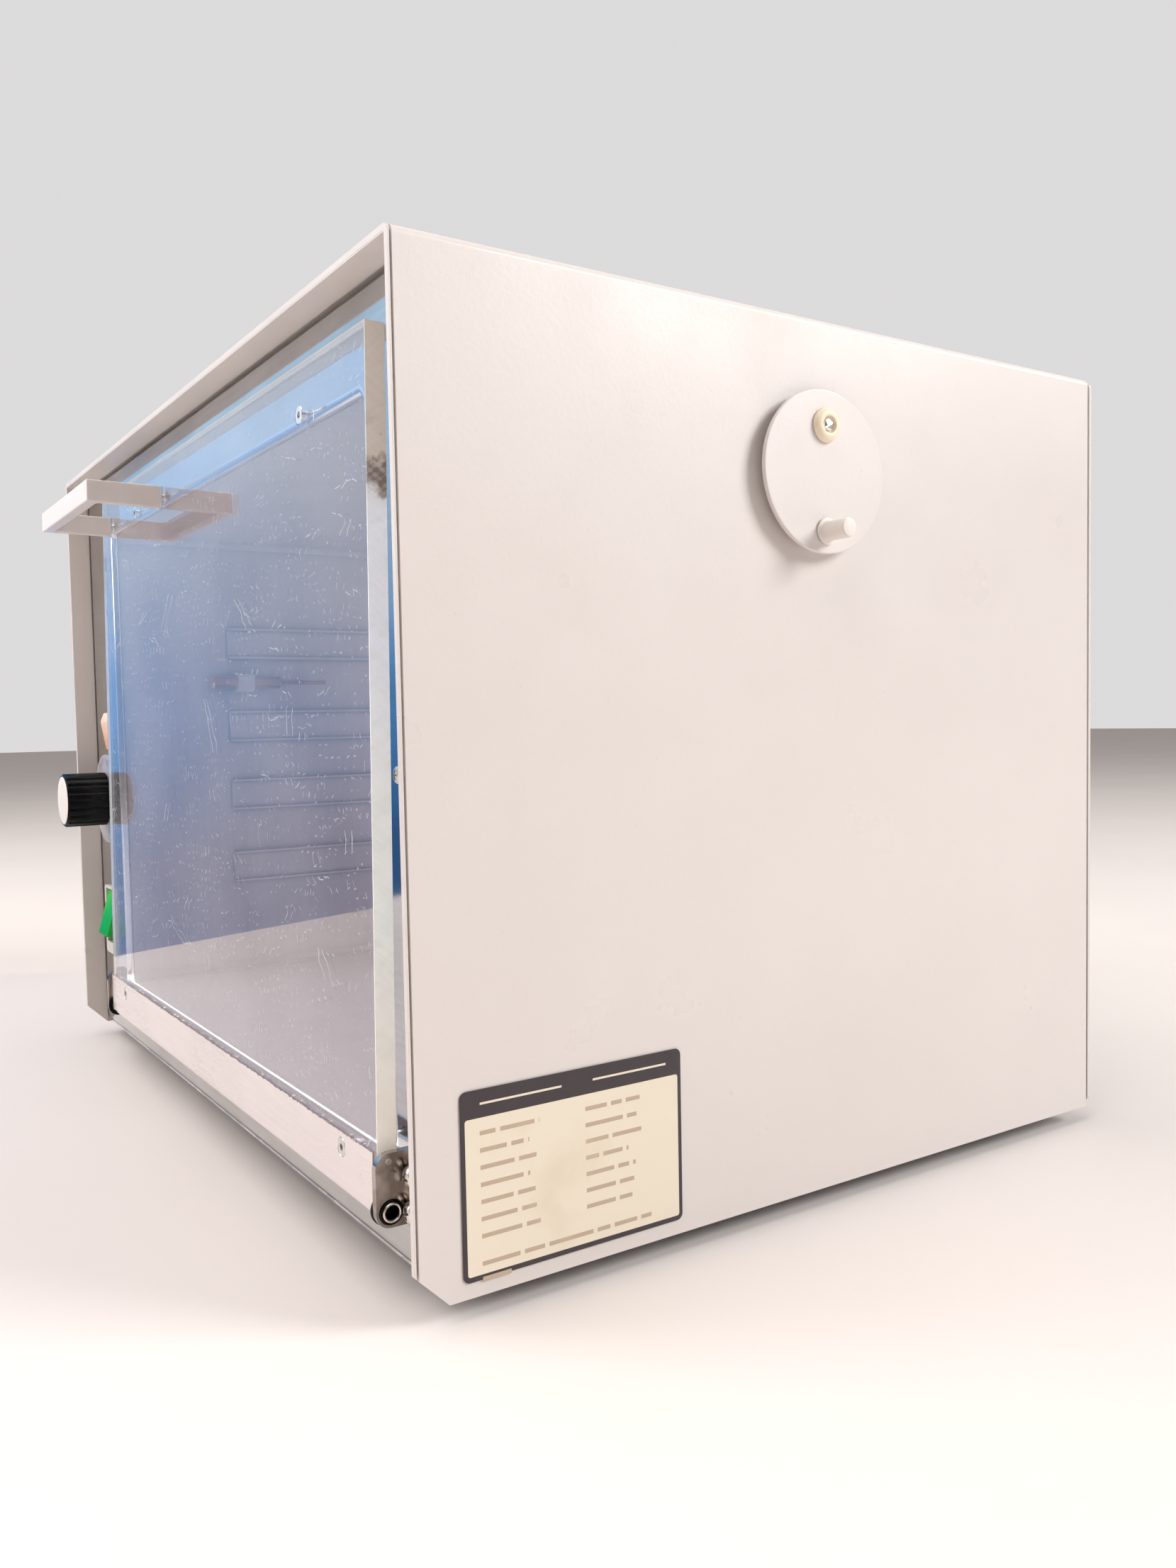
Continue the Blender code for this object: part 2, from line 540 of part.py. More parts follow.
def hinge_bracket(side, look, parent):
    """Ear that carries the bush, and a flange screwed to the frame."""
    foot_turn, top_turn, flange_turn = 0.0043, 0.0045, 0.002
    spare_y, spare_z, spare_r = 0.0017, 0.0347, 0.0010
    before, beyond = EAR_IN - 0.004, EAR_OUT + 0.004
    ear = [(EAR_FRONT, EAR_Z0, foot_turn), (EAR_FRONT, EAR_Z1, top_turn)]
    ear += [(FLANGE_Y1, EAR_Z1, 0), (FLANGE_Y1, EAR_Z0, 0)]
    flange = [(EAR_IN, EAR_Z0, 0), (FLANGE_END, EAR_Z0, flange_turn)]
    flange += [(FLANGE_END, EAR_Z1, flange_turn), (EAR_IN, EAR_Z1, 0)]
    shape = join(prism(rounded(ear, 5), "x", EAR_IN, EAR_OUT),
                 prism(rounded(flange), "y", FLANGE_Y0, FLANGE_Y1))
    cutters = [hole("x", AXIS_Y, AXIS_Z, BUSH_R + SLACK, before, beyond, 18)]
    cutters.append(hole("x", spare_y, spare_z, spare_r, before, beyond, 8))
    for z in BRACKET_SCREW_Z.values():
        cutters.append(hole("y", BRACKET_SCREW_X, z, SCREW_HOLE_R, 0.0, 2 * FLANGE_Y1, 8))
    shape = mirrored(cut(shape, *cutters), side)
    return part(f"hinge_bracket_{side}", shape, look, parent)


def hinge_pin(side, look, parent):
    """Tubular head that turns in the bush, and a tail fixed in the door's rail."""
    end, shoulder, tail, bore_floor, bore_r = 0.1769, 0.1718, 0.1605, 0.1735, 0.0022
    edge = 0.0003
    profile = [(0, bore_floor), (bore_r, bore_floor), (bore_r, end), (PIN_R - edge, end)]
    profile += [(PIN_R, end - edge), (PIN_R, shoulder), (PIN_TAIL_R, shoulder)]
    profile += [(PIN_TAIL_R, tail), (0, tail)]
    return part(f"hinge_pin_{side}", mirrored(turned(profile, "x"), side), look, parent)


def ring(name, side, inner, outer, low, high, look, parent, u=0.0, v=0.0):
    profile = [(inner, low), (inner, high), (outer, high), (outer, low)]
    return part(f"{name}_{side}", mirrored(turned(profile, "x", u, v), side), look, parent)


def bracket_screws(side, look, parent):
    x = BRACKET_SCREW_X if side == "right" else 2 * DOOR_MID_X - BRACKET_SCREW_X
    length, seat = 0.0085, FLANGE_Y0 - 0.0002
    for row, z in BRACKET_SCREW_Z.items():
        part(f"bracket_screw_{side}_{row}", pan_screw(length), look, parent, (x, seat, z))


# Controls


def fluted_outline(radius, flutes=20, depth=0.0006, steps=4):
    """A circle with evenly spaced shallow grooves."""
    outline = []
    for i in range(flutes * steps):
        angle = 2 * math.pi * i / (flutes * steps)
        dip = depth * max(0.0, math.cos(flutes * angle)) ** 2
        outline.append(((radius - dip) * math.cos(angle), (radius - dip) * math.sin(angle)))
    return outline


def control_knob(look, parent):
    """Fluted grip with a plain front rim, a recess for the cap and a bore for the shaft."""
    rim, recess, overlap, bore_end = 0.0007, 0.0013, 0.004, -0.0070
    body = prism(fluted_outline(KNOB_R), "y", KNOB_FRONT + rim, KNOB_BACK)
    nose = prism(circle(0, 0, KNOB_R - rim, 36), "y", KNOB_FRONT, KNOB_FRONT + overlap)
    front = hole("y", 0, 0, CAP_R + SLACK, KNOB_FRONT - 0.002, KNOB_FRONT + recess, 32)
    bore = hole("y", 0, 0, SHAFT_R + SLACK, bore_end, KNOB_BACK + 0.002)
    return part("control_knob", cut(join(body, nose), front, bore), look, parent)


def knob_cap(look, parent):
    crown, edge, back = 0.0005, 0.0002, KNOB_FRONT + 0.0010
    profile = [(0, KNOB_FRONT - crown), (CAP_R * 0.7, KNOB_FRONT - crown * 0.8)]
    profile += [(CAP_R - 3 * edge, KNOB_FRONT - edge), (CAP_R, KNOB_FRONT + edge)]
    profile += [(CAP_R, back), (0, back)]
    return part("knob_cap", turned(profile, "y", segments=32), look, parent)


def scale_disc(look, parent):
    bore = SHAFT_R + GAP
    profile = [(bore, DISC_Y0), (DISC_R, DISC_Y0), (DISC_R, DISC_Y1), (bore, DISC_Y1)]
    return part("scale_disc", turned(profile, "y", segments=36), look, parent)


def thermostat_shaft(look, parent):
    front, back = -0.0065, 0.0250
    return part("thermostat_shaft", hole("y", 0, 0, SHAFT_R, front, back), look, parent)


def thermostat_body(look, parent):
    half, front, back, bushing_front, bore_end = 0.017, 0.0110, 0.0400, 0.0080, 0.0260
    outline = rectangle(CONTROL_X - half, CONTROL_X + half, KNOB_Z - half, KNOB_Z + half)
    bushing = hole("y", CONTROL_X, KNOB_Z, BUSHING_R - 0.0001, bushing_front, front + 0.002)
    bore = hole("y", CONTROL_X, KNOB_Z, SHAFT_R + 0.00008, 0.0, bore_end)
    shape = cut(join(prism(outline, "y", front, back), bushing), bore)
    return part("thermostat_body", shape, look, parent)


def thermostat_nut(look, parent):
    hexagon_r, front, back = 0.0081, 0.0076, FRAME_Y0 - GAP
    shape = prism(circle(CONTROL_X, KNOB_Z, hexagon_r, 6), "y", front, back)
    shape = cut(shape, hole("y", CONTROL_X, KNOB_Z, BUSHING_R + 0.0001, 0.0, 2 * back))
    return part("thermostat_nut", shape, look, parent)


def pilot_lamp(lens_look, body_look, parent):
    """Wedge lens that stands out of the frame, and the lamp's body behind it."""
    ridge_z, x0, x1 = 0.1580, CONTROL_X - LAMP_HALF_W, CONTROL_X + LAMP_HALF_W
    back, foot, ridge, crest, edge = 0.0108, 0.0089, 0.0065, 0.0082, 0.0002
    outline = [(back, LAMP_Z0), (foot, LAMP_Z0), (ridge, ridge_z), (crest, LAMP_Z1), (back, LAMP_Z1)]
    lens = soften(prism(outline, "x", x0, x1), edge, 1, 30)
    part("pilot_lamp_lens", lens, lens_look, parent)
    wide, tall, front, end = 0.001, 0.0015, 0.0112, 0.0320
    outline = rectangle(x0 - wide, x1 + wide, LAMP_Z0 - tall, LAMP_Z1 + tall)
    part("pilot_lamp_body", prism(outline, "y", front, end), body_look, parent)


def switch_housing(look, parent):
    """Bezel on the frame, and a box behind it with the rocker's well and bearings."""
    corner, bezel_front, bezel_back, box_back, well_back = 0.0015, 0.0066, FRAME_Y0 - GAP, 0.0340, 0.0190
    well_half, well_z0, well_z1 = ROCKER_HALF_W + GAP, 0.0464, 0.0736
    outline = rectangle(CONTROL_X - SWITCH_HALF_W, CONTROL_X + SWITCH_HALF_W, BEZEL_Z0, BEZEL_Z1, corner)
    bezel = prism(outline, "y", bezel_front, bezel_back)
    box_x0, box_x1 = CONTROL_X - SWITCH_BOX_HALF_W, CONTROL_X + SWITCH_BOX_HALF_W
    box = prism(rectangle(box_x0, box_x1, SWITCH_BOX_Z0, SWITCH_BOX_Z1), "y", bezel_back - 0.0012, box_back)
    well = prism(rectangle(CONTROL_X - well_half, CONTROL_X + well_half, well_z0, well_z1), "y", 0.0,
                 well_back)
    bearing = hole("x", ROCKER_Y, ROCKER_Z, STUB_R + 0.0001, box_x0 - 0.004, box_x1 + 0.004, 12)
    return part("switch_housing", cut(join(bezel, box), well, bearing), look, parent)


def switch_rocker(look, parent):
    """Flat rocker about its pivot, with a stub each side in the housing's walls."""
    nose, tall, shoulder, back, waist = -0.00677, 0.0112, 0.0005, 0.0030, 0.0060
    outline = [(nose, -tall), (nose, tall), (shoulder, tall), (back, waist), (back, -waist)]
    outline += [(shoulder, -tall)]
    body = prism(outline, "x", -ROCKER_HALF_W, ROCKER_HALF_W)
    stub = hole("x", 0, 0, STUB_R, -STUB_END, STUB_END, 12)
    return part("switch_rocker", join(body, stub), look, parent)


# Probe port and its cover


def port_tube(look, parent):
    """Sleeve from the chamber's wall out through the casing, flanged outside."""
    inner_end, seat, rim = CHAMBER_X1 - 0.0002, SIDE_X + 0.0002, SIDE_X + 0.0018
    profile = [(PORT_R, inner_end), (PORT_R, rim), (PORT_FLANGE_R, rim), (PORT_FLANGE_R, seat)]
    profile += [(PORT_SLEEVE_R, seat), (PORT_SLEEVE_R, inner_end)]
    return part("port_tube", turned(profile, "x", PORT_Y, PORT_Z, 24), look, parent)


def port_pivot(washer_look, screw_look, spacer_look, parent):
    """Spacer behind the cover, dished washer over it, and the screw through all three."""
    gap, bore, spacer_r = 0.0002, 0.0019, 0.0040
    spacer = [(bore, SIDE_X + gap), (bore, COVER_X0 - gap)]
    spacer += [(spacer_r, COVER_X0 - gap), (spacer_r, SIDE_X + gap)]
    part("port_pivot_spacer", turned(spacer, "x", PORT_Y, PIVOT_Z), spacer_look, parent)
    seat = COVER_X1 + gap
    dish = seat + 0.0008
    washer = [(bore, seat), (bore, dish), (0.0024, dish), (0.0026, seat + 0.0020)]
    washer += [(0.0040, seat + 0.0018), (0.0053, dish), (0.0055, seat)]
    part("port_pivot_washer", turned(washer, "x", PORT_Y, PIVOT_Z), washer_look, parent)
    head_r, shank_r, face, end = 0.0021, 0.00175, seat + 0.0010, SIDE_X - 0.0050
    crown, slot_half, slot_deep = 0.0007, 0.0003, 0.0003
    screw = [(0, face + crown), (head_r * 0.67, face + crown), (head_r, face + GAP), (head_r, face)]
    screw += [(shank_r, face), (shank_r, end), (0, end)]
    outline = rectangle(PORT_Y - 2 * head_r, PORT_Y + 2 * head_r, PIVOT_Z - slot_half, PIVOT_Z + slot_half)
    slot = prism(outline, "x", face + crown - slot_deep, face + 4 * crown)
    part("port_pivot_screw", cut(turned(screw, "x", PORT_Y, PIVOT_Z, 12), slot), screw_look, parent)


def port_cover(cover_look, peg_look, pivot):
    """Round cover hung from a hole near its top edge, and the finger peg near its foot."""
    disc_v, peg_v = COVER_Z - PIVOT_Z, PEG_Z - PIVOT_Z
    low, high, edge, gap = COVER_X0 - SIDE_X, COVER_X1 - SIDE_X, 0.0003, 0.0002
    disc = soften(hole("x", 0, disc_v, COVER_R, low, high, 44), edge, 1)
    holes = [hole("x", 0, v, radius, low - 0.001, high + 0.001)
             for v, radius in ((0, COVER_PIVOT_R), (peg_v, COVER_PEG_R))]
    part("port_cover", cut(disc, *holes), cover_look, pivot)
    end, collar, tail_r, collar_r, grip_r = PEG_END - SIDE_X, high + gap, 0.0015, 0.00425, 0.00315
    peg = [(0, low + gap), (tail_r, low + gap), (tail_r, collar), (collar_r, collar)]
    peg += [(collar_r, collar + 0.0010), (grip_r, collar + 0.0012), (grip_r, end - 0.0006)]
    peg += [(grip_r - 0.00055, end - 0.0001), (grip_r - 0.00095, end), (0, end)]
    part("port_peg", turned(peg, "x", 0, peg_v), peg_look, pivot)


def build_fixed(cabinet, looks):
    hood_shell(looks["paint"], cabinet)
    front_bezel(looks["paint"], cabinet)
    rear_panel(looks["paint"], cabinet)
    base_pan(looks["zinc"], cabinet)
    feet(looks["rubber"], cabinet)
    rating_plate(looks["label"], cabinet)
    cable_gland(looks["black"], cabinet)
    front_frame(looks["stainless"], cabinet)
    chamber_liner(looks["stainless"], cabinet)
    insulation(looks["wool"], cabinet)
    heater_mat(looks["silicone"], cabinet)
    shelf_rails(looks["stainless"], cabinet)
    sensor(looks["copper"], looks["stainless"], cabinet)
    thermostat_body(looks["black"], cabinet)
    thermostat_nut(looks["zinc"], cabinet)
    pilot_lamp(looks["amber"], looks["ivory"], cabinet)
    switch_housing(looks["grey"], cabinet)
    port_tube(looks["ivory"], cabinet)
    port_pivot(looks["ivory"], looks["zinc"], looks["ivory"], cabinet)
    frame_screw = pan_screw(0.0060, head_r=0.0025, shank_r=0.0014, head=0.0015)
    part("frame_screw", frame_screw, looks["zinc"], cabinet,
         (FRAME_SCREW_X, FRAME_Y0 - 0.0002, FRAME_SCREW_Z))


def build_hinges(cabinet, pivot, looks):
    bush_ends = (EAR_IN - 0.00005, EAR_OUT + 0.00045)
    washer_ends = (PANE_X1 + SLACK, PANE_X1 + SLACK + 0.0012)
    for side in ("left", "right"):
        hinge_bracket(side, looks["nickel"], cabinet)
        bracket_screws(side, looks["zinc"], cabinet)
        ring("hinge_bush", side, PIN_R + 0.00008, BUSH_R, *bush_ends, looks["black"], cabinet,
             AXIS_Y, AXIS_Z)
        ring("hinge_washer", side, PIN_R + SLACK, WASHER_R, *washer_ends, looks["black"], pivot)
        hinge_pin(side, looks["nickel"], pivot)


def build_door(pivot, looks):
    door_pane(looks["acrylic"], pivot)
    door_bottom_plate(looks["aluminium"], pivot)
    door_hinge_rail(looks["aluminium"], pivot)
    door_handle(looks["ivory"], pivot)
    door_screws(looks["zinc"], pivot)


def build_knob(pivot, looks):
    control_knob(looks["black"], pivot)
    knob_cap(looks["ivory"], pivot)
    scale_disc(looks["acrylic"], pivot)
    thermostat_shaft(looks["zinc"], pivot)


def all_looks():
    return {
        "paint": material("paint", (0.78, 0.71, 0.66), 0.35),
        "stainless": material("stainless", (0.62, 0.60, 0.58), 0.18, 1.0),
        "aluminium": material("aluminium", (0.66, 0.64, 0.62), 0.35, 1.0),
        "nickel": material("nickel", (0.60, 0.57, 0.52), 0.30, 1.0),
        "zinc": material("zinc", (0.66, 0.65, 0.62), 0.28, 1.0),
        "acrylic": material("acrylic", (0.82, 0.86, 0.92), 0.05, 0.0, 0.25),
        "ivory": material("ivory", (0.85, 0.78, 0.66), 0.40),
        "grey": material("grey", (0.62, 0.62, 0.60), 0.45),
        "black": material("black", (0.02, 0.02, 0.02), 0.40),
        "rubber": material("rubber", (0.03, 0.03, 0.03), 0.80),
        "amber": material("amber", (0.95, 0.42, 0.18), 0.20),
        "green": material("green", (0.0, 0.42, 0.06), 0.30),
        "label": material("label", (0.05, 0.04, 0.045), 0.45),
        "wool": material("wool", (0.70, 0.62, 0.30), 0.95),
        "silicone": material("silicone", (0.45, 0.12, 0.06), 0.60),
        "copper": material("copper", (0.72, 0.38, 0.22), 0.30, 1.0),
    }


def main():
    clear_scene()
    looks = all_looks()
    cabinet = empty("incubator", location=SHIFT)
    build_fixed(cabinet, looks)
    door_pivot = empty("door_pivot", cabinet, (0, AXIS_Y, AXIS_Z), -DOOR_LEAN)
    build_hinges(cabinet, door_pivot, looks)
    build_door(door_pivot, looks)
    build_knob(empty("knob_pivot", cabinet, (CONTROL_X, 0, KNOB_Z)), looks)
    rocker_pivot = empty("rocker_pivot", cabinet, (CONTROL_X, ROCKER_Y, ROCKER_Z), -ROCKER_TILT)
    switch_rocker(looks["green"], rocker_pivot)
    cover_pivot = empty("port_pivot", cabinet, (SIDE_X, PORT_Y, PIVOT_Z))
    port_cover(looks["paint"], looks["ivory"], cover_pivot)


main()
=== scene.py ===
"""Looks for the bench-top laboratory incubator.

Metres. Fixed pieces are laid out in the casing's coordinates: x = 0 at its middle, y = 0 at the
front edge of its sheet and z = 0 at the underside of its sides. Pieces of the door are laid out
about the hinge axis, leaning as the door leans. Sizes come from the CAD nodes they stand for.
"""
import json
import math
import random

import bmesh
import bpy
from mathutils import Matrix, Vector


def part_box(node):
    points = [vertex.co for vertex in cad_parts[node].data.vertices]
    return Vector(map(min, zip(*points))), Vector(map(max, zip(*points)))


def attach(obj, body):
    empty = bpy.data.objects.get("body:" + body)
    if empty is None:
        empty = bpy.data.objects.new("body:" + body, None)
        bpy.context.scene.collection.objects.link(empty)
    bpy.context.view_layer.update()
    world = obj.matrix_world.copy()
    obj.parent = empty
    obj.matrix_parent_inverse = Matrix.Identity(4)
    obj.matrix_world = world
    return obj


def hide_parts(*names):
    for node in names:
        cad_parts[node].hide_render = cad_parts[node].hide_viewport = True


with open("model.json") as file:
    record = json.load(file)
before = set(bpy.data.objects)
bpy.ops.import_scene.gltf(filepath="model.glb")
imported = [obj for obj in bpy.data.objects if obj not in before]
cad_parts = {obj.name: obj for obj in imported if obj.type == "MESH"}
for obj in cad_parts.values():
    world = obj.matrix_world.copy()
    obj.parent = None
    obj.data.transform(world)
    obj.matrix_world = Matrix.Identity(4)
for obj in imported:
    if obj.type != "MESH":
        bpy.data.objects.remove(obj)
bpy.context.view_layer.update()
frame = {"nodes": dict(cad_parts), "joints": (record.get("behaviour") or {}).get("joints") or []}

SEED = 7
SIDES = ("left", "right")
CORNERS = [(side, row) for side in SIDES for row in ("lower", "upper")]

# Camera, at the height of the casing's middle and in front of its right side
CAMERA_AT = Vector((0.47535, -0.27140, 0.16090))
CAMERA_AZIMUTH, CAMERA_ELEVATION, CAMERA_ROLL = (math.radians(a) for a in (56.224, 3.029, -1.079))
CAMERA_LENS, SENSOR = 28.242, 36.0

# Sheet metal
SHEET, BEND, CORNER_CUT = 0.0010, 0.0025, 0.0087
DOOR_LEAN = math.radians(0.764)
COLLAR_LIP, COLLAR_OUT, COLLAR_IN = 0.0006, 0.0013, 0.0021
WINDOW_ROLL = 0.0024

# Coordinates
HOOD_LOW, HOOD_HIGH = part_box("hood_shell")
CASE = Matrix.Translation(((HOOD_LOW.x + HOOD_HIGH.x) / 2, HOOD_LOW.y, HOOD_LOW.z))


def joint_place(name):
    joint = next(j for j in frame["joints"] if j["name"] == name)
    return Matrix.Translation(joint["pos_m"])


DOOR = joint_place("door_hinge") @ Matrix.Rotation(-DOOR_LEAN, 4, "X")
KNOB = joint_place("thermostat_turn")
ROCKER = joint_place("power_rock")
COVER = joint_place("port_swing")


def extent(node, place=CASE):
    """Lowest and highest corner of a CAD node, in the coordinates of place."""
    inverse = place.inverted()
    points = [inverse @ v.co for v in frame["nodes"][node].data.vertices]
    low = Vector([min(p[i] for p in points) for i in range(3)])
    high = Vector([max(p[i] for p in points) for i in range(3)])
    return low, high


# Mesh tools


def to_mesh(shape):
    mesh = bpy.data.meshes.new("shape")
    shape.to_mesh(mesh)
    shape.free()
    return mesh


def linked(name, data):
    """A new object in the scene."""
    made = bpy.data.objects.new(name, data)
    bpy.context.scene.collection.objects.link(made)
    return made


def point(axis, u, v, along):
    """The two coordinates across an axis, and the one along it, as x, y, z."""
    return {"x": (along, u, v), "y": (u, along, v), "z": (u, v, along)}[axis]


def circle(u, v, radius, segments=48):
    angles = [2 * math.pi * i / segments for i in range(segments)]
    return [(u + radius * math.cos(a), v + radius * math.sin(a)) for a in angles]


def quarter(steps, first=0):
    """The sine and cosine of evenly spaced angles up to a right angle."""
    angles = [math.pi / 2 * i / steps for i in range(first, steps + 1)]
    return [(math.sin(a), math.cos(a)) for a in angles]


def rounded(corners, steps=8):
    """An outline through (u, v, radius) corners, each with a radius drawn as an arc."""
    outline = []
    for i, (u, v, radius) in enumerate(corners):
        corner = Vector((u, v))
        if radius == 0:
            outline.append(corner)
            continue
        before = (Vector(corners[i - 1][:2]) - corner).normalized()
        after = (Vector(corners[(i + 1) % len(corners)][:2]) - corner).normalized()
        half = before.angle(after) / 2
        centre = corner + (before + after).normalized() * radius / math.sin(half)
        start = corner + before * radius / math.tan(half) - centre
        end = corner + after * radius / math.tan(half) - centre
        sweep = start.angle_signed(end)
        for step in range(steps + 1):
            outline.append(centre + Matrix.Rotation(-sweep * step / steps, 2) @ start)
    return outline


def rectangle(u0, u1, v0, v1, radius=0.0, steps=6):
    return rounded([(u0, v0, radius), (u1, v0, radius), (u1, v1, radius), (u0, v1, radius)], steps)


def skinned(shape, rings):
    """Faces from each ring of vertices to the next. A ring of one vertex is a point."""
    for first, second in zip(rings, rings[1:]):
        count = max(len(first), len(second))
        for i in range(count):
            j = (i + 1) % count
            corners = [first[i % len(first)], first[j % len(first)]]
            corners += [second[j % len(second)], second[i % len(second)]]
            shape.faces.new(list(dict.fromkeys(corners)))
    bmesh.ops.recalc_face_normals(shape, faces=shape.faces)
    return shape


def prism(outline, axis, low, high):
    """A bar along an axis, its section given by the other two coordinates."""
    shape = bmesh.new()
    ends = [[shape.verts.new(point(axis, u, v, w)) for u, v in outline] for w in (low, high)]
    for end in ends:
        shape.faces.new(end)
    return skinned(shape, ends)


def turned(profile, axis, u=0.0, v=0.0, segments=48):
    """A turned solid: (radius, along) points that start and end on the axis, or that
    close on themselves round a hole."""
    shape = bmesh.new()
    rings = []
    for radius, along in profile:
        ring = [(u, v)] if radius == 0 else circle(u, v, radius, segments)
        rings.append([shape.verts.new(point(axis, *place, along)) for place in ring])
    if profile[0][0] > 0:
        rings.append(rings[0])
    return skinned(shape, rings)


def hole(axis, u, v, radius, low, high, segments=48):
    return prism(circle(u, v, radius, segments), axis, low, high)


def combine(operation, shape, others):
    """Apply Booleans to a bmesh and return the result."""
    target = linked("target", to_mesh(shape))
    tools = [linked("tool", to_mesh(other)) for other in others]
    for tool in tools:
        modifier = target.modifiers.new("combine", "BOOLEAN")
        modifier.operation = operation
        modifier.solver = "EXACT"
        modifier.object = tool
    graph = bpy.context.evaluated_depsgraph_get()
    result = bmesh.new()
    result.from_mesh(target.evaluated_get(graph).to_mesh())
    for used in [target, *tools]:
        bpy.data.objects.remove(used)
    return result


def cut(shape, *others):
    return combine("DIFFERENCE", shape, others)


def join(shape, *others):
    return combine("UNION", shape, others)


def gather(shapes):
    """Separate shapes as one mesh."""
    whole = bmesh.new()
    for shape in shapes:
        whole.from_mesh(to_mesh(shape))
    return whole


def soften(shape, width, segments=3, angle=40):
    """Round every edge sharper than the angle."""
    sharp = [e for e in shape.edges if e.calc_face_angle(0) > math.radians(angle)]
    bmesh.ops.bevel(shape, geom=sharp, offset=width, segments=segments, profile=0.5,
                    affect="EDGES", clamp_overlap=True)
    return shape


def moved(shape, place):
    bmesh.ops.transform(shape, matrix=place, verts=shape.verts)
    if place.determinant() < 0:
        bmesh.ops.reverse_faces(shape, faces=shape.faces)
    return shape


def piece(name, shape, look, body, nodes=(), place=CASE):
    """A finished piece that rides on a CAD body and stands for these CAD nodes."""
    mesh = to_mesh(moved(shape, place))
    mesh.name = name
    mesh.shade_smooth()
    mesh.set_sharp_from_angle(angle=math.radians(38))
    mesh.materials.append(LOOKS[look])
    made = linked(name, mesh)
    normals = made.modifiers.new("normals", "WEIGHTED_NORMAL")
    normals.keep_sharp = True
    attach(made, body)
    if nodes:
        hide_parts(*nodes)
    return made


# Material tools


class Nodes:
    """Shader nodes on one tree. A value is a number, or the socket that it comes from."""

    def __init__(self, tree, shader=None):
        self.tree, self.shader = tree, shader
        self.place = self.add("TexCoord").outputs["Object"]

    def add(self, kind, inputs=(), **settings):
        """A node, with its inputs set to values or linked to sockets."""
        made = self.tree.nodes.new("ShaderNode" + kind)
        for name, value in settings.items():
            setattr(made, name, value)
        for name, value in dict(inputs).items():
            if isinstance(value, bpy.types.NodeSocket):
                self.tree.links.new(value, made.inputs[name])
            else:
                made.inputs[name].default_value = value
        return made

    def noise(self, scale, detail=3.0, stretch=(1, 1, 1), turn=(0, 0, 0)):
        """Noise from 0 to 1, with features of about 1 / scale metres."""
        inputs = {"Vector": self.place, "Rotation": turn, "Scale": tuple(1 / s for s in stretch)}
        mapped = self.add("Mapping", inputs, vector_type="TEXTURE").outputs["Vector"]
        return self.add("TexNoise", {"Vector": mapped, "Scale": scale, "Detail": detail}).outputs["Fac"]

    def cells(self, vector, scale, **settings):
        """Voronoi cells, and three random numbers for each."""
        found = self.add("TexVoronoi", {"Vector": vector, "Scale": scale}, **settings).outputs
        return found, self.add("SeparateColor", {"Color": found["Color"]}).outputs

    def spread(self, value, low, high, to_low=0.0, to_high=1.0):
        """The value from low to high, spread over to_low to to_high and kept there."""
        inputs = {"Value": value, "From Min": low, "From Max": high, "To Min": to_low, "To Max": to_high}
        return self.add("MapRange", inputs, clamp=True).outputs["Result"]

    def maths(self, operation, first, second=0.0):
        return self.add("Math", {0: first, 1: second}, operation=operation).outputs["Value"]

    def times(self, first, second):
        return self.maths("MULTIPLY", first, second)

    def most(self, first, *others):
        for other in others:
            first = self.maths("MAXIMUM", first, other)
        return first

    def split(self, vector):
        return self.add("SeparateXYZ", {0: vector}).outputs

    def vector(self, operation, *inputs):
        return self.add("VectorMath", dict(enumerate(inputs)), operation=operation).outputs

    def blend(self, factor, first, second):
        """Colour between two."""
        first, second = ((*c, 1.0) if isinstance(c, tuple) else c for c in (first, second))
        return self.add("Mix", {0: factor, 6: first, 7: second}, data_type="RGBA").outputs[2]

    def mix(self, factor, first, second):
        """Shader between two."""
        return self.add("MixShader", {0: factor, 1: first, 2: second}).outputs[0]

    def set(self, socket, value):
        self.tree.links.new(value, self.shader.inputs[socket])

    def bump(self, height, distance, strength=1.0):
        inputs = {"Height": height, "Distance": distance, "Strength": strength}
        self.set("Normal", self.add("Bump", inputs).outputs["Normal"])

    def surface(self, shader):
        self.tree.links.new(shader, self.tree.nodes["Material Output"].inputs["Surface"])


def blank(name, roughness=0.4, metallic=0.0, **uniform):
    """A material with one Principled shader, and its nodes."""
    made = bpy.data.materials.new(name)
    made.use_nodes = True
    shader = made.node_tree.nodes["Principled BSDF"]
    for socket, value in {"Roughness": roughness, "Metallic": metallic, **uniform}.items():
        shader.inputs[socket.replace("_", " ")].default_value = value
    return made, Nodes(made.node_tree, shader)


# Materials


def paint(name, light, shade, stain, gloss=0.33):
    """Stove enamel: faint orange peel, uneven tone, a few pale brown wipe stains."""
    made, n = blank(name, gloss, Specular_IOR_Level=0.5)
    marks = n.spread(n.noise(22, 5, (1, 1, 0.35)), 0.60, 0.78, 0.0, 0.45)
    specks = n.spread(n.noise(420, 2), 0.72, 0.80, 0.0, 0.35)
    tone = n.blend(n.spread(n.noise(7, 3), 0.35, 0.65), light, shade)
    n.set("Base Color", n.blend(specks, n.blend(marks, tone, stain), stain))
    n.set("Roughness", n.spread(n.noise(30, 4), 0.3, 0.7, gloss - 0.06, gloss + 0.10))
    n.bump(n.noise(650, 2), 0.00006, 0.5)
    return made


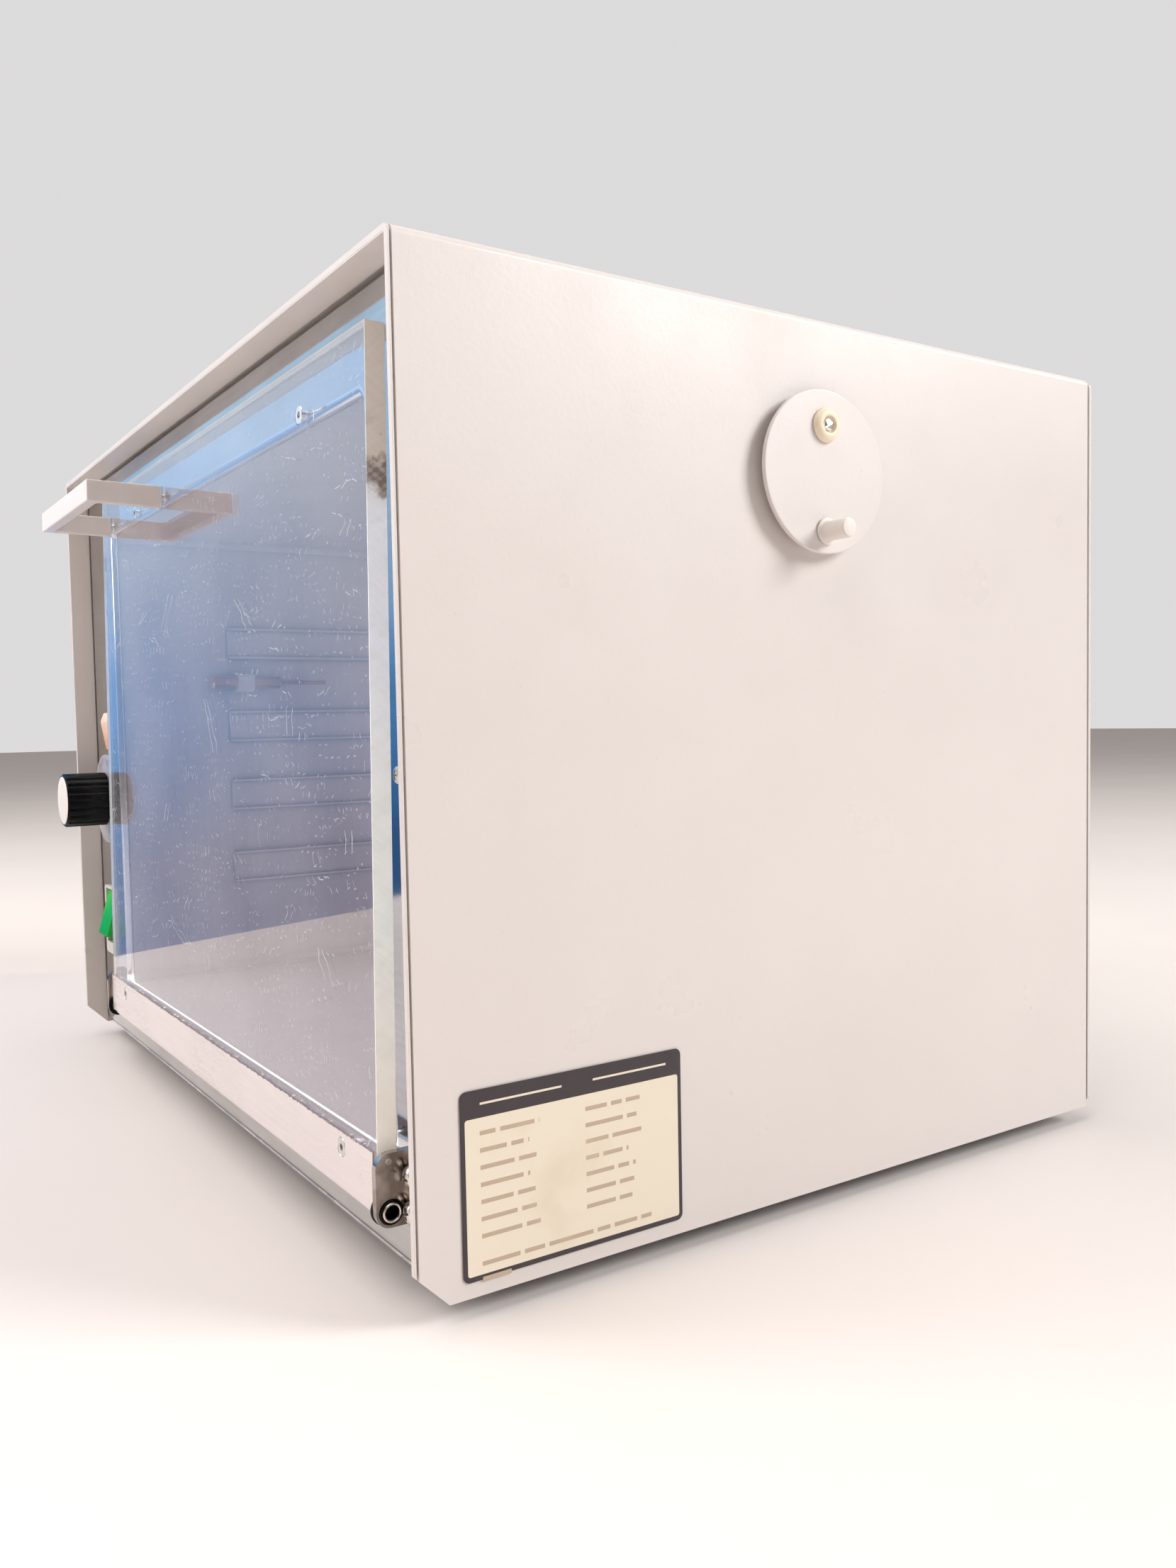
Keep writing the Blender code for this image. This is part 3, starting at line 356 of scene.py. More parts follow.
def steel(name, tint, dull, gloss, stretch=(1, 1, 1), grain=600, depth=0.00001, wear=0.12, mottle=25,
          metal=1.0, occlusion_shade_reach=0.0):
    """Rolled or brushed metal: grain drawn out along an axis, cloudy handling marks, and painted
    shade: the colour darkened by ambient occlusion within this reach of where surfaces meet."""
    made, n = blank(name, gloss, metal)
    lines = n.noise(grain, 3, stretch)
    clouds = n.spread(n.noise(mottle, 5), 0.40, 0.72)
    tone = n.blend(clouds, tint, dull)
    tone = n.blend(n.spread(lines, 0.35, 0.75, 0.0, 0.35), tone, tuple(c * 0.86 for c in dull))
    if occlusion_shade_reach:
        # painted shade: corners, creases and the feet of rails are darkened where ambient occlusion finds
        # nearby surfaces
        open_share = n.add("AmbientOcclusion", {"Distance": occlusion_shade_reach}, samples=6).outputs["AO"]
        tone = n.blend(n.spread(open_share, 0.25, 0.85), tuple(c * 0.25 for c in dull), tone)
    n.set("Base Color", tone)
    uneven = n.maths("ADD", n.spread(lines, 0.3, 0.7, 0.0, wear * 0.5), n.times(clouds, wear))
    n.set("Roughness", n.maths("ADD", uneven, gloss - wear * 0.4))
    n.bump(lines, depth, 0.6)
    return made


def painted_highlight_edge(name, low):
    """Polished sheet edge with a painted highlight: along its foot it glows in its own tone, standing in
    for the light it would catch.
    """
    made, n = blank(name, 0.12, 1.0, Emission_Strength=1.6)
    tone = n.blend(n.noise(60, 4), (0.98, 0.94, 0.92), (0.80, 0.77, 0.76))
    n.set("Base Color", tone)
    # painted highlight: emission on the lowest few millimetres of the edge, none above
    painted_highlight_mask = n.spread(n.split(n.place)["Z"], low + 0.0035, low + 0.0050)
    n.set("Emission Color", n.blend(painted_highlight_mask, tone, (0.0, 0.0, 0.0)))
    return made


def spangled(name):
    """Galvanised sheet, with its crystal pattern."""
    made, n = blank(name, 0.38, 1.0)
    facet = n.cells(n.place, 140.0)[1][0]
    n.set("Base Color", n.blend(facet, (0.52, 0.53, 0.55), (0.70, 0.70, 0.70)))
    n.set("Roughness", n.spread(facet, 0.0, 1.0, 0.30, 0.48))
    n.bump(n.noise(500, 3), 0.00002)
    return made


def plastic(name, base, other, gloss, grain=900, depth=0.00002, **uniform):
    """Moulded plastic with a fine eroded grain and a slightly uneven tone."""
    made, n = blank(name, gloss, **uniform)
    n.set("Base Color", n.blend(n.spread(n.noise(60, 4), 0.35, 0.7), base, other))
    n.set("Roughness", n.spread(n.noise(150, 3), 0.3, 0.7, gloss - 0.05, gloss + 0.08))
    n.bump(n.noise(grain, 2), depth, 0.5)
    return made


def wool(name):
    made, n = blank(name, 0.95)
    strands = n.noise(260, 6, (1, 1, 6))
    n.set("Base Color", n.blend(n.spread(strands, 0.3, 0.7), (0.72, 0.62, 0.28), (0.45, 0.36, 0.14)))
    n.bump(strands, 0.0006)
    return made


def strokes(n, scale, share, half_width, half_length):
    """Thin marks at all angles in the X and Z plane, one on some of the cells of a Voronoi pattern."""
    axes = n.split(n.place)
    flat = n.add("CombineXYZ", {"X": axes["X"], "Y": axes["Z"]}).outputs[0]
    cells, chance = n.cells(flat, scale, voronoi_dimensions="2D")
    offset = n.vector("SUBTRACT", flat, cells["Position"])["Vector"]
    inputs = {"Vector": offset, "Angle": n.times(chance["Red"], 2 * math.pi)}
    way = n.split(n.add("VectorRotate", inputs, rotation_type="Z_AXIS").outputs["Vector"])
    wander = n.spread(n.noise(160, 1), 0.3, 0.7, -3 * half_width, 3 * half_width)
    across = n.maths("ABSOLUTE", n.maths("ADD", way["X"], wander))
    along = n.maths("ABSOLUTE", way["Y"])
    reach = n.times(n.spread(chance["Blue"], 0.0, 1.0, 0.25, 1.0), half_length)
    tapered = n.spread(n.maths("DIVIDE", along, reach), 1.0, 0.7)
    mark = n.times(n.spread(across, half_width, half_width * 0.3), tapered)
    return n.times(mark, n.spread(chance["Green"], 1 - share, 1 - share * 0.6))


def scratches(n):
    """White marks on rubbed acrylic: a few long scratches, more short ones, and many fine hairs."""
    kinds = ((24, 0.30, 0.00036, 0.018), (55, 0.22, 0.00030, 0.006), (140, 0.20, 0.00024, 0.0024),
             (330, 0.16, 0.00016, 0.0012))
    total = n.most(*(strokes(n, *kind) for kind in kinds))
    return n.times(total, n.spread(n.noise(14, 2), 0.35, 0.60, 0.3, 1.0))


def specks(n, scale, size, share):
    """Small round dust specks on some of the cells of a Voronoi pattern."""
    cells, chance = n.cells(n.place, scale)
    dots = n.spread(cells["Distance"], size, size * 0.4)
    return n.times(dots, n.spread(chance[0], 1 - share, 1 - share + 0.02))


def wiped(n, centre, radius):
    """Fine arcs left by wiping round and round."""
    offset = n.vector("SUBTRACT", n.place, centre)["Vector"]
    flat = n.vector("MULTIPLY", offset, (1.0, 0.0, 1.0))["Vector"]
    far = n.vector("LENGTH", flat)["Value"]
    uneven = n.maths("ADD", far, n.times(n.noise(30, 2), 0.004))
    arcs = n.spread(n.maths("SINE", n.times(uneven, 5200.0)), 0.86, 1.0)
    patch = n.spread(n.noise(45, 3), 0.50, 0.68)
    return n.times(n.times(arcs, patch), n.spread(far, radius, radius * 0.5))


def clear_sheet(n, cover, film, tint):
    """Clear plastic partly under a film. Shadow rays, diffuse rays, and mirror rays that meet it
    from outside go straight through."""
    path = n.add("LightPath").outputs
    inside = n.maths("MODULO", path["Transmission Depth"], 2.0)
    mirrored = n.times(path["Is Glossy Ray"], n.maths("SUBTRACT", 1.0, inside))
    unbent = n.most(path["Is Shadow Ray"], path["Is Diffuse Ray"], mirrored)
    clear = n.add("BsdfTransparent", {"Color": (*tint, 1.0)}).outputs[0]
    n.surface(n.mix(unbent, n.mix(cover, n.shader.outputs[0], film), clear))


def cast_acrylic(name, centre):
    """Clear sheet with hand polish haze, scratches and dust; the marks glow faintly, a painted glow."""
    made, n = blank(name, 0.012, Transmission_Weight=1.0, IOR=1.49, Base_Color=(0.90, 0.93, 1.0, 1.0))
    haze = n.spread(n.noise(16, 4), 0.30, 0.75, 0.03, 0.10)
    marks = n.most(n.times(scratches(n), 0.95), n.times(wiped(n, centre, 0.05), 0.30),
                   n.times(specks(n, 330, 0.16, 0.12), 0.8), n.times(specks(n, 620, 0.17, 0.12), 0.5))
    dull = n.add("BsdfDiffuse", {"Color": (0.90, 0.91, 0.96, 1.0), "Roughness": 0.5}).outputs[0]
    # painted glow: the scratches and specks emit a little light of their own
    painted_glow = n.add("Emission", {"Color": (0.92, 0.95, 1.0, 1.0), "Strength": 0.45}).outputs[0]
    film = n.mix(n.spread(marks, 0.1, 0.8, 0.0, 0.6), dull, painted_glow)
    clear_sheet(n, n.most(haze, marks), film, (0.93, 0.94, 0.97))
    return made


def clear_disc(name):
    """The dial's clear scale, slightly milky."""
    made, n = blank(name, 0.03, Transmission_Weight=1.0, IOR=1.49)
    film = n.add("BsdfDiffuse", {"Color": (0.80, 0.80, 0.90, 1.0)}).outputs[0]
    clear_sheet(n, n.spread(n.noise(120, 3), 0.35, 0.7, 0.18, 0.30), film, (0.90, 0.90, 0.95))
    return made


def sawn_acrylic_painted_glow(name, low, high):
    """The pane's cut edges: milky, crossed by saw lines, mottled dark brown near the top, a bluish
    middle painted as a reflection and a creamy foot, all glowing faintly as painted light."""
    made, n = blank(name, 0.40, IOR=1.49, Emission_Strength=0.22)
    height = n.spread(n.split(n.place)["Z"], low, high)
    tone = (0.95, 0.90, 0.82)
    # the bluish band in the middle is a painted reflection
    bands = ((0.10, 0.30, (0.90, 0.94, 0.93)), (0.45, 0.62, (0.84, 0.90, 1.0)),
             (0.79, 0.84, (0.62, 0.56, 0.50)))
    for start, end, next_tone in bands:
        tone = n.blend(n.spread(height, start, end), tone, next_tone)
    dark_mottle_band = n.times(n.spread(height, 0.76, 0.80), n.spread(height, 0.90, 0.86))
    tone = n.blend(n.times(n.spread(n.noise(130, 5), 0.50, 0.62), dark_mottle_band), tone, (0.20, 0.16, 0.14))
    lines, crossed = (n.noise(scale, 3, (1, 0.10, 1), (math.radians(angle), 0.0, 0.0))
                      for scale, angle in ((900, 35), (700, -40)))
    grain = n.maths("ADD", lines, crossed)
    tone = n.blend(n.spread(grain, 0.9, 1.2, 0.0, 0.35), tone, (0.66, 0.66, 0.64))
    n.set("Base Color", tone)
    # painted glow: the edge emits its own colours, at the strength set above
    n.set("Emission Color", tone)
    n.bump(grain, 0.00010, 0.8)
    return made


def printed(name, ground, dirt):
    """Printed foil label under a matt film."""
    made, n = blank(name, 0.38)
    n.set("Base Color", n.blend(n.spread(n.noise(45, 6), 0.50, 0.75, 0.0, 0.6), ground, dirt))
    n.set("Roughness", n.spread(n.noise(200, 3), 0.3, 0.7, 0.30, 0.50))
    n.bump(n.noise(900, 2), 0.00001)
    return made


def lamp_plastic(name, deep, pale, low, high):
    """Translucent lens, ribbed inside, paler towards its top as a painted highlight."""
    made, n = blank(name, 0.16, IOR=1.5, Subsurface_Weight=0.35, Subsurface_Scale=0.004,
                    Subsurface_Radius=(1.0, 0.45, 0.25))
    height = n.split(n.place)["Z"]
    ribs = n.spread(n.maths("SINE", n.times(height, 4200.0)), -1.0, 1.0, 0.0, 0.12)
    # painted highlight: the colour runs from deep at the foot to pale at the top
    n.set("Base Color", n.blend(ribs, n.blend(n.spread(height, low, high), deep, pale), deep))
    n.bump(n.noise(900, 2), 0.00001)
    return made


def floor_paint(name):
    made, n = blank(name, 0.55)
    broad = n.spread(n.noise(4, 4), 0.3, 0.7)
    n.set("Base Color", n.blend(broad, (0.765, 0.725, 0.705), (0.735, 0.695, 0.675)))
    n.bump(n.noise(300, 3), 0.00004)
    return made


def all_looks():
    lens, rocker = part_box("pilot_lamp_lens"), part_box("switch_rocker")
    return {
        "paint": paint("casing_enamel", (0.735, 0.690, 0.665), (0.705, 0.655, 0.630), (0.62, 0.55, 0.48)),
        "cover": paint("cover_enamel", (0.755, 0.710, 0.690), (0.725, 0.680, 0.655), (0.64, 0.57, 0.50)),
        "stainless": steel("mirror_steel", (0.63, 0.615, 0.60), (0.50, 0.485, 0.47), 0.055, (0.05, 1, 1),
                           600, 0.000002, 0.05),
        # the chamber steel carries painted shade, darkened by ambient occlusion within 10 mm of its corners
        # and rails
        "chamber": steel("chamber_steel", (0.84, 0.76, 0.75), (0.76, 0.685, 0.68), 0.33, (1, 1, 0.06),
                         500, 0.000002, 0.08, 25, 0.55, 0.010),
        "aluminium": steel("brushed_aluminium", (0.93, 0.86, 0.845), (0.87, 0.80, 0.785), 0.24,
                           (0.04, 1, 1), 700, 0.000004, 0.06, 25, 0.75),
        "nickel": steel("worn_nickel", (0.56, 0.50, 0.45), (0.11, 0.08, 0.065), 0.18, (1, 1, 0.25),
                        260, 0.00003, 0.14, 110),
        "zinc": steel("screw_plating", (0.82, 0.80, 0.78), (0.66, 0.62, 0.57), 0.26, (1, 1, 1), 400),
        "copper": steel("copper", (0.72, 0.40, 0.25), (0.45, 0.24, 0.15), 0.30, (1, 0.1, 1)),
        "galvanised": spangled("galvanised"),
        "pane": cast_acrylic("cast_acrylic", tuple(CASE @ Vector((-0.05, 0.0, 0.17)))),
        "sawn": sawn_acrylic_painted_glow("sawn_acrylic_painted_glow", *(c.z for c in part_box("door_pane"))),
        "painted_highlight_edge": painted_highlight_edge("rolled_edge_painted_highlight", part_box("chamber_liner")[0].z),
        "cement": plastic("cement", (0.80, 0.80, 0.84), (0.70, 0.69, 0.74), 0.25),
        "disc": clear_disc("scale_acrylic"),
        "ivory": plastic("ivory_plastic", (0.86, 0.81, 0.78), (0.82, 0.765, 0.73), 0.38),
        "warm": plastic("warm_plastic", (0.88, 0.78, 0.60), (0.84, 0.72, 0.53), 0.42),
        "cap": plastic("cap_plastic", (0.84, 0.79, 0.74), (0.80, 0.745, 0.70), 0.45),
        "grey": plastic("switch_plastic", (0.68, 0.65, 0.62), (0.62, 0.59, 0.56), 0.42),
        "black": plastic("black_plastic", (0.002, 0.002, 0.003), (0.004, 0.004, 0.005), 0.22, 700,
                         0.000008, Specular_IOR_Level=0.15),
        "rubber": plastic("rubber", (0.022, 0.021, 0.020), (0.040, 0.037, 0.034), 0.75, 400, 0.00008),
        "silicone": plastic("silicone", (0.45, 0.10, 0.05), (0.36, 0.08, 0.04), 0.60, 500),
        # both lenses get paler towards the top, a painted highlight
        "amber": lamp_plastic("amber_lens", (0.95, 0.36, 0.14), (1.0, 0.86, 0.76), lens[0].z, lens[1].z),
        "green": lamp_plastic("green_lens", (0.0, 0.36, 0.02), (0.0, 0.60, 0.05), rocker[0].z, rocker[1].z),
        "wool": wool("glass_wool"),
        "label_dark": printed("label_border", (0.036, 0.026, 0.030), (0.075, 0.055, 0.055)),
        "label_pale": printed("label_field", (0.80, 0.72, 0.58), (0.66, 0.56, 0.42)),
        "label_grey": printed("label_print", (0.50, 0.39, 0.29), (0.66, 0.55, 0.43)),
        "ink": printed("scale_ink", (0.02, 0.05, 0.22), (0.04, 0.07, 0.26)),
    }


LOOKS = all_looks()


# Casing


def arch(half, top, outer_inset, inner_inset, low, high, floor=0.0):
    """A folded strip: left side, top and right side of the casing, as one bar along Y."""
    sides = []
    for inset in (outer_inset, inner_inset):
        x, z, turn = half - inset, top - inset, max(BEND - inset, 0.0005)
        sides.append([(-x, floor, 0), (-x, z, turn), (x, z, turn), (x, floor, 0)])
    return prism(rounded(sides[0] + sides[1][::-1]), "y", low, high)


def corner_cutter():
    """The 45 degree cut across the lower front corners of both sides."""
    reach = 0.003
    end = CORNER_CUT + reach
    return prism([(-reach, -reach), (end, -reach), (-reach, end)], "x", -0.3, 0.3)


def casing():
    low, high = extent("hood_shell")
    port_low, port_high = extent("port_tube")
    screw_low, screw_high = extent("port_pivot_screw")
    port_y, port_z = (port_low.y + port_high.y) / 2, (port_low.z + port_high.z) / 2
    clearance = (port_high.z - port_low.z) / 2 - 0.0016
    port_hole = hole("x", port_y, port_z, clearance, 0.19, 0.20)
    screw_hole = hole("x", port_y, (screw_low.z + screw_high.z) / 2, 0.0020, 0.19, 0.20)
    hood = cut(arch(high.x, high.z, 0.0, SHEET, low.y, high.y), corner_cutter(), port_hole, screw_hole)
    piece("casing_hood", hood, "paint", "cabinet", ["hood_shell"])

    front, back = extent("front_bezel")
    lip = arch(high.x, high.z, 0.0, (COLLAR_OUT + COLLAR_IN) / 2, front.y, front.y + COLLAR_LIP)
    body = arch(high.x, high.z, COLLAR_OUT, COLLAR_IN, front.y + 0.0001, back.y, -0.001)
    collar = cut(join(lip, body), corner_cutter())
    piece("casing_collar", soften(collar, 0.00016, 2), "paint", "cabinet",
          ["front_bezel"])


def window(margin):
    """Outline of the front window, grown by a margin from the chamber's inner faces."""
    low, high = extent("chamber_liner")
    return rectangle(low.x + SHEET - margin, high.x - SHEET + margin, low.z + SHEET - margin,
                     high.z - SHEET + margin, 0.0020 + margin)


def fascia():
    """Front sheet folded back along its top and foot, and open for the chamber and the controls."""
    low, high = extent("front_frame")
    sheet_y, fold, reach = low.y + SHEET, 0.002, high.y
    outer = [(reach, low.z, 0), (low.y, low.z, fold), (low.y, high.z, fold), (reach, high.z, 0)]
    inner = [(reach, high.z - SHEET, 0), (sheet_y, high.z - SHEET, fold - SHEET)]
    inner += [(sheet_y, low.z + SHEET, fold - SHEET), (reach, low.z + SHEET, 0)]
    shape = prism(rounded(outer + inner), "x", low.x, high.x)
    before, behind, gap = low.y - 0.004, sheet_y + 0.004, 0.0003
    cutters = [prism(window(WINDOW_ROLL), "y", before, behind)]
    for name, side, foot, top in (("pilot_lamp_lens", gap, gap, gap),
                                  ("switch_housing", -0.0014, -0.0018, -0.0006)):
        a, b = extent(name)
        outline = rectangle(a.x - side, b.x + side, a.z - foot, b.z + top)
        cutters.append(prism(outline, "y", before, behind))
    ear_screws = [f"bracket_screw_{side}_{row}" for side, row in CORNERS]
    for name in ("thermostat_nut", "frame_screw", *ear_screws):
        at = middle(*extent(name))
        radius, segments = (0.0053, 48) if name == "thermostat_nut" else (0.0017, 16)
        cutters.append(hole("y", at.x, at.z, radius, before, behind, segments))
    piece("front_fascia", cut(shape, *cutters), "stainless", "cabinet", ["front_frame"])


def window_roll():
    """The window's edge, rolled in to the chamber."""
    front, roll, tail = extent("front_frame")[0].y, WINDOW_ROLL, 0.0027
    section = [(roll * (1 - s), front + roll * (1 - c)) for s, c in quarter(8)]
    section += [(0.0, front + tail), (SHEET, front + tail), (roll, front + SHEET)]
    edge = bmesh.new()
    loops = [[edge.verts.new((x, y, z)) for x, z in window(margin)] for margin, y in section]
    # the roll's lower run glows: a painted highlight along the window's foot
    piece("window_roll", skinned(edge, loops + loops[:1]), "painted_highlight_edge", "cabinet")


def rear_screws():
    """Pan screws round the rear panel, their heads flush with the gland's face at most."""
    low, high = extent("rear_panel")
    inset = 0.0055
    places = [(x, z) for x in (low.x + inset, high.x - inset)
              for z in (low.z + inset, (low.z + high.z) / 2, high.z - inset)]
    places += [(0.0, low.z + inset), (0.0, high.z - inset)]
    turn = Matrix.Rotation(math.pi, 4, "Z")
    heads = []
    for i, (x, z) in enumerate(places):
        spin = Matrix.Rotation(0.7 * i, 4, "Y")
        heads.append(moved(pan_head(0.0034, 0.0021), Matrix.Translation((x, high.y, z)) @ turn @ spin))
    piece("rear_panel_screws", gather(heads), "zinc", "cabinet")


def feet():
    for name in ("front_left", "front_right", "rear_left", "rear_right"):
        low, high = extent(f"foot_{name}")
        radius, tall = (high.x - low.x) / 2, high.z - low.z
        profile = [(0, high.z), (radius, high.z), (radius, high.z - tall * 0.55)]
        profile += [(radius - 0.0006, high.z - tall * 0.75), (radius - 0.0019, low.z + 0.0003)]
        profile += [(radius - 0.0024, low.z), (0.0042, low.z), (0.0040, low.z + 0.0003)]
        profile += [(0.0036, low.z + 0.0020), (0, low.z + 0.0020)]
        shape = turned(profile, "z", (low.x + high.x) / 2, (low.y + high.y) / 2)
        piece(f"rubber_foot_{name}", shape, "rubber", "cabinet", [f"foot_{name}"])


def lead_gland():
    low, high = extent("cable_gland")
    x, z = (low.x + high.x) / 2, (low.z + high.z) / 2
    panel = extent("rear_panel")[1].y
    hexagon = prism(circle(x, z, (high.x - low.x) / 2, 6), "y", panel + 0.0003, panel + 0.0036)
    collar = soften(hexagon, 0.0004)
    nose = [(0.0040, panel + 0.0010), (0.0078, panel + 0.0010)]
    nose += [(0.0058 + 0.0020 * c, high.y - 0.0035 + 0.0035 * s) for s, c in quarter(6)]
    nose += [(0.0048, high.y), (0.0040, high.y - 0.0008)]
    sleeve = [(0.0040, low.y), (0.0058, low.y), (0.0058, panel + 0.0012), (0.0040, panel + 0.0012)]
    shapes = [cut(collar, hole("y", x, z, 0.0072, panel, panel + 0.01))]
    shapes += [turned(profile, "y", x, z) for profile in (nose, sleeve)]
    piece("lead_gland", gather(shapes), "black", "cabinet", ["cable_gland"])


def rating_plate():
    """Dark printed border and header, a pale field, and plain bars where wording would be."""
    low, high = extent("rating_plate")
    face, film = high.x, 0.00004
    border = soften(prism(rectangle(low.y, high.y, low.z, high.z, 0.0020), "x", low.x, face), 0.00008, 2)
    piece("rating_border", border, "label_dark", "cabinet", ["rating_plate"])
    margin, header = 0.0013, 0.0077
    y0, y1, z0, z1 = low.y + margin, high.y - margin, low.z + margin + 0.0002, high.z - header
    field = prism(rectangle(y0, y1, z0, z1, 0.0008), "x", face - 0.00005, face + film)
    piece("rating_field", field, "label_pale", "cabinet")
    bars, words = [], random.Random(SEED)
    row_pitch, thick, space, columns = 0.0047, 0.0012, 0.0015, ((0.0045, 0.027), (0.0385, 0.024))
    rows = [(i, columns) for i in range(7)] + [(7.6, ((0.0045, 0.060),)), (8.5, ((0.0045, 0.016),))]
    for row, runs in rows:
        base = z1 - 0.0048 - row_pitch * row
        for start, longest in runs:
            at, end = y0 + start, y0 + start + longest * words.uniform(0.55, 1.0)
            while at < end:
                length = words.uniform(0.0030, 0.0150)
                bars.append(prism(rectangle(at, min(at + length, end), base, base + thick), "x",
                                  face, face + 2 * film))
                at += length + space
    piece("rating_bars", gather(bars), "label_grey", "cabinet")
    lines = [prism(rectangle(low.y + start, low.y + start + 0.026, high.z - 0.0042, high.z - 0.0036), "x",
                   face - 0.00002, face + film) for start in (0.006, 0.0425)]
    piece("rating_header_lines", gather(lines), "label_pale", "cabinet")


# Screws


def pan_head(radius, head, shank=0.0, shank_r=0.0015):
    """Domed head towards -Y with a cross recess, origin where the head meets its seat."""
    profile = [(0, -head)]
    profile += [(radius * s, -head * 0.25 - head * 0.75 * c) for s, c in quarter(8, 1)]
    profile += [(radius, -0.0001), (radius - 0.0002, 0)]
    if shank:
        profile += [(shank_r, 0), (shank_r, shank)]
    profile.append((0, profile[-1][1]))
    arm, blade, floor = radius * 0.56, radius * 0.12, -head * 0.40
    recess = join(prism(rectangle(-arm, arm, -blade, blade), "y", -head - 0.001, floor),
                  prism(rectangle(-blade, blade, -arm, arm), "y", -head - 0.001, floor))
    centre = turned([(0, -head - 0.001), (radius * 0.30, -head - 0.001), (radius * 0.12, floor - 0.0002),
                     (0, floor - 0.0002)], "y", segments=24)
    return cut(turned(profile, "y", segments=36), recess, centre)


def flat_head(length, radius=0.00275, shank_r=0.0015, head=0.0014):
    """Countersunk head facing -Y with a hexagon socket, origin at the middle of its face."""
    rim = 0.00012
    profile = [(0, 0), (radius - rim, 0), (radius, rim), (shank_r, head), (shank_r, length), (0, length)]
    socket = prism(circle(0, 0, radius * 0.42, 6), "y", -0.001, 0.0011)
    return cut(turned(profile, "y", segments=36), socket)


def middle(low, high):
    return (low + high) / 2


def door_screws():
    rows = (("plate", 0.0015, False), ("pane", 0.0015, False), ("handle", 0.00125, True))
    for row, shank_r, from_behind in rows:
        for side, spin in zip(SIDES, (0.3, 0.9)):
            low, high = extent(f"{row}_screw_{side}", DOOR)
            at = middle(low, high)
            turn = Matrix.Rotation(spin, 4, "Y")
            if from_behind:
                turn = Matrix.Rotation(math.pi, 4, "Z") @ turn
            place = DOOR @ Matrix.Translation((at.x, high.y if from_behind else low.y, at.z)) @ turn
            piece(f"{row}_fixing_{side}", flat_head(high.y - low.y, shank_r=shank_r), "zinc", "door",
                  [f"{row}_screw_{side}"], place)


def bracket_screws():
    for (side, row), spin in zip(CORNERS, (0.35, 0.85, 1.25, 1.75)):
        low, high = extent(f"bracket_screw_{side}_{row}")
        at, head = middle(low, high), 0.0022
        place = CASE @ Matrix.Translation((at.x, low.y + head, at.z)) @ Matrix.Rotation(spin, 4, "Y")
        piece(f"ear_screw_{side}_{row}", pan_head((high.x - low.x) / 2, head, high.y - low.y - head),
              "zinc", "cabinet", [f"bracket_screw_{side}_{row}"], place)
    low, high = extent("frame_screw")
    at, head = middle(low, high), 0.0015
    shape = pan_head((high.x - low.x) / 2, head, high.y - low.y - head, 0.0014)
    piece("frame_fixing", shape, "zinc", "cabinet", ["frame_screw"],
          CASE @ Matrix.Translation((at.x, low.y + head, at.z)))


# Door


def seat(node, front, through, wide=0.0030, narrow=0.00165, sink=0.0014):
    """A countersunk way for a door screw, its mouth at y = front."""
    at = middle(*extent(node, DOOR))
    way = 1 if through > front else -1
    profile = [(0, front - way * 0.003), (wide, front - way * 0.003), (wide, front)]
    profile += [(narrow, front + way * sink), (narrow, through), (0, through)]
    return turned(profile, "y", at.x, at.z, 36)


def door_pane():
    """Clear sheet, its large faces polished and its four cut edges left sawn."""
    low, high = extent("door_pane", DOOR)
    plate = extent("door_bottom_plate", DOOR)[0]
    shape = soften(prism(rectangle(low.x, high.x, low.z, high.z), "y", low.y, high.y), 0.00022, 2)
    cutters = [seat(f"plate_screw_{side}", plate.y, 0.006) for side in SIDES]
    cutters += [seat(f"pane_screw_{side}", low.y, 0.006) for side in SIDES]
    cutters += [seat(f"handle_screw_{side}", high.y, -0.006) for side in SIDES]
    shape = cut(shape, *cutters)
    for face in shape.faces:
        at, rim = face.calc_center_median(), 0.0004
        inside = low.x + rim < at.x < high.x - rim and low.z + rim < at.z < high.z - rim
        face.material_index = 0 if inside else 1
    made = piece("door_glazing", shape, "pane", "door", ["door_pane"], DOOR)
    made.data.materials.append(LOOKS["sawn"])


def bottom_plate():
    """Kick plate whose top edge was sheared and left ragged."""
    low, high = extent("door_bottom_plate", DOOR)
    ragged, count, deepest = random.Random(SEED), 460, 0.00055
    top = [(high.x - (high.x - low.x) * i / count, high.z - deepest * ragged.random() ** 2)
           for i in range(count + 1)]
    shape = prism([(low.x, low.z), (high.x, low.z), *top], "y", low.y, high.y)
    shape = cut(shape, *[seat(f"plate_screw_{side}", low.y, 0.006) for side in SIDES])
    piece("door_kick_plate", shape, "aluminium", "door", ["door_bottom_plate"], DOOR)


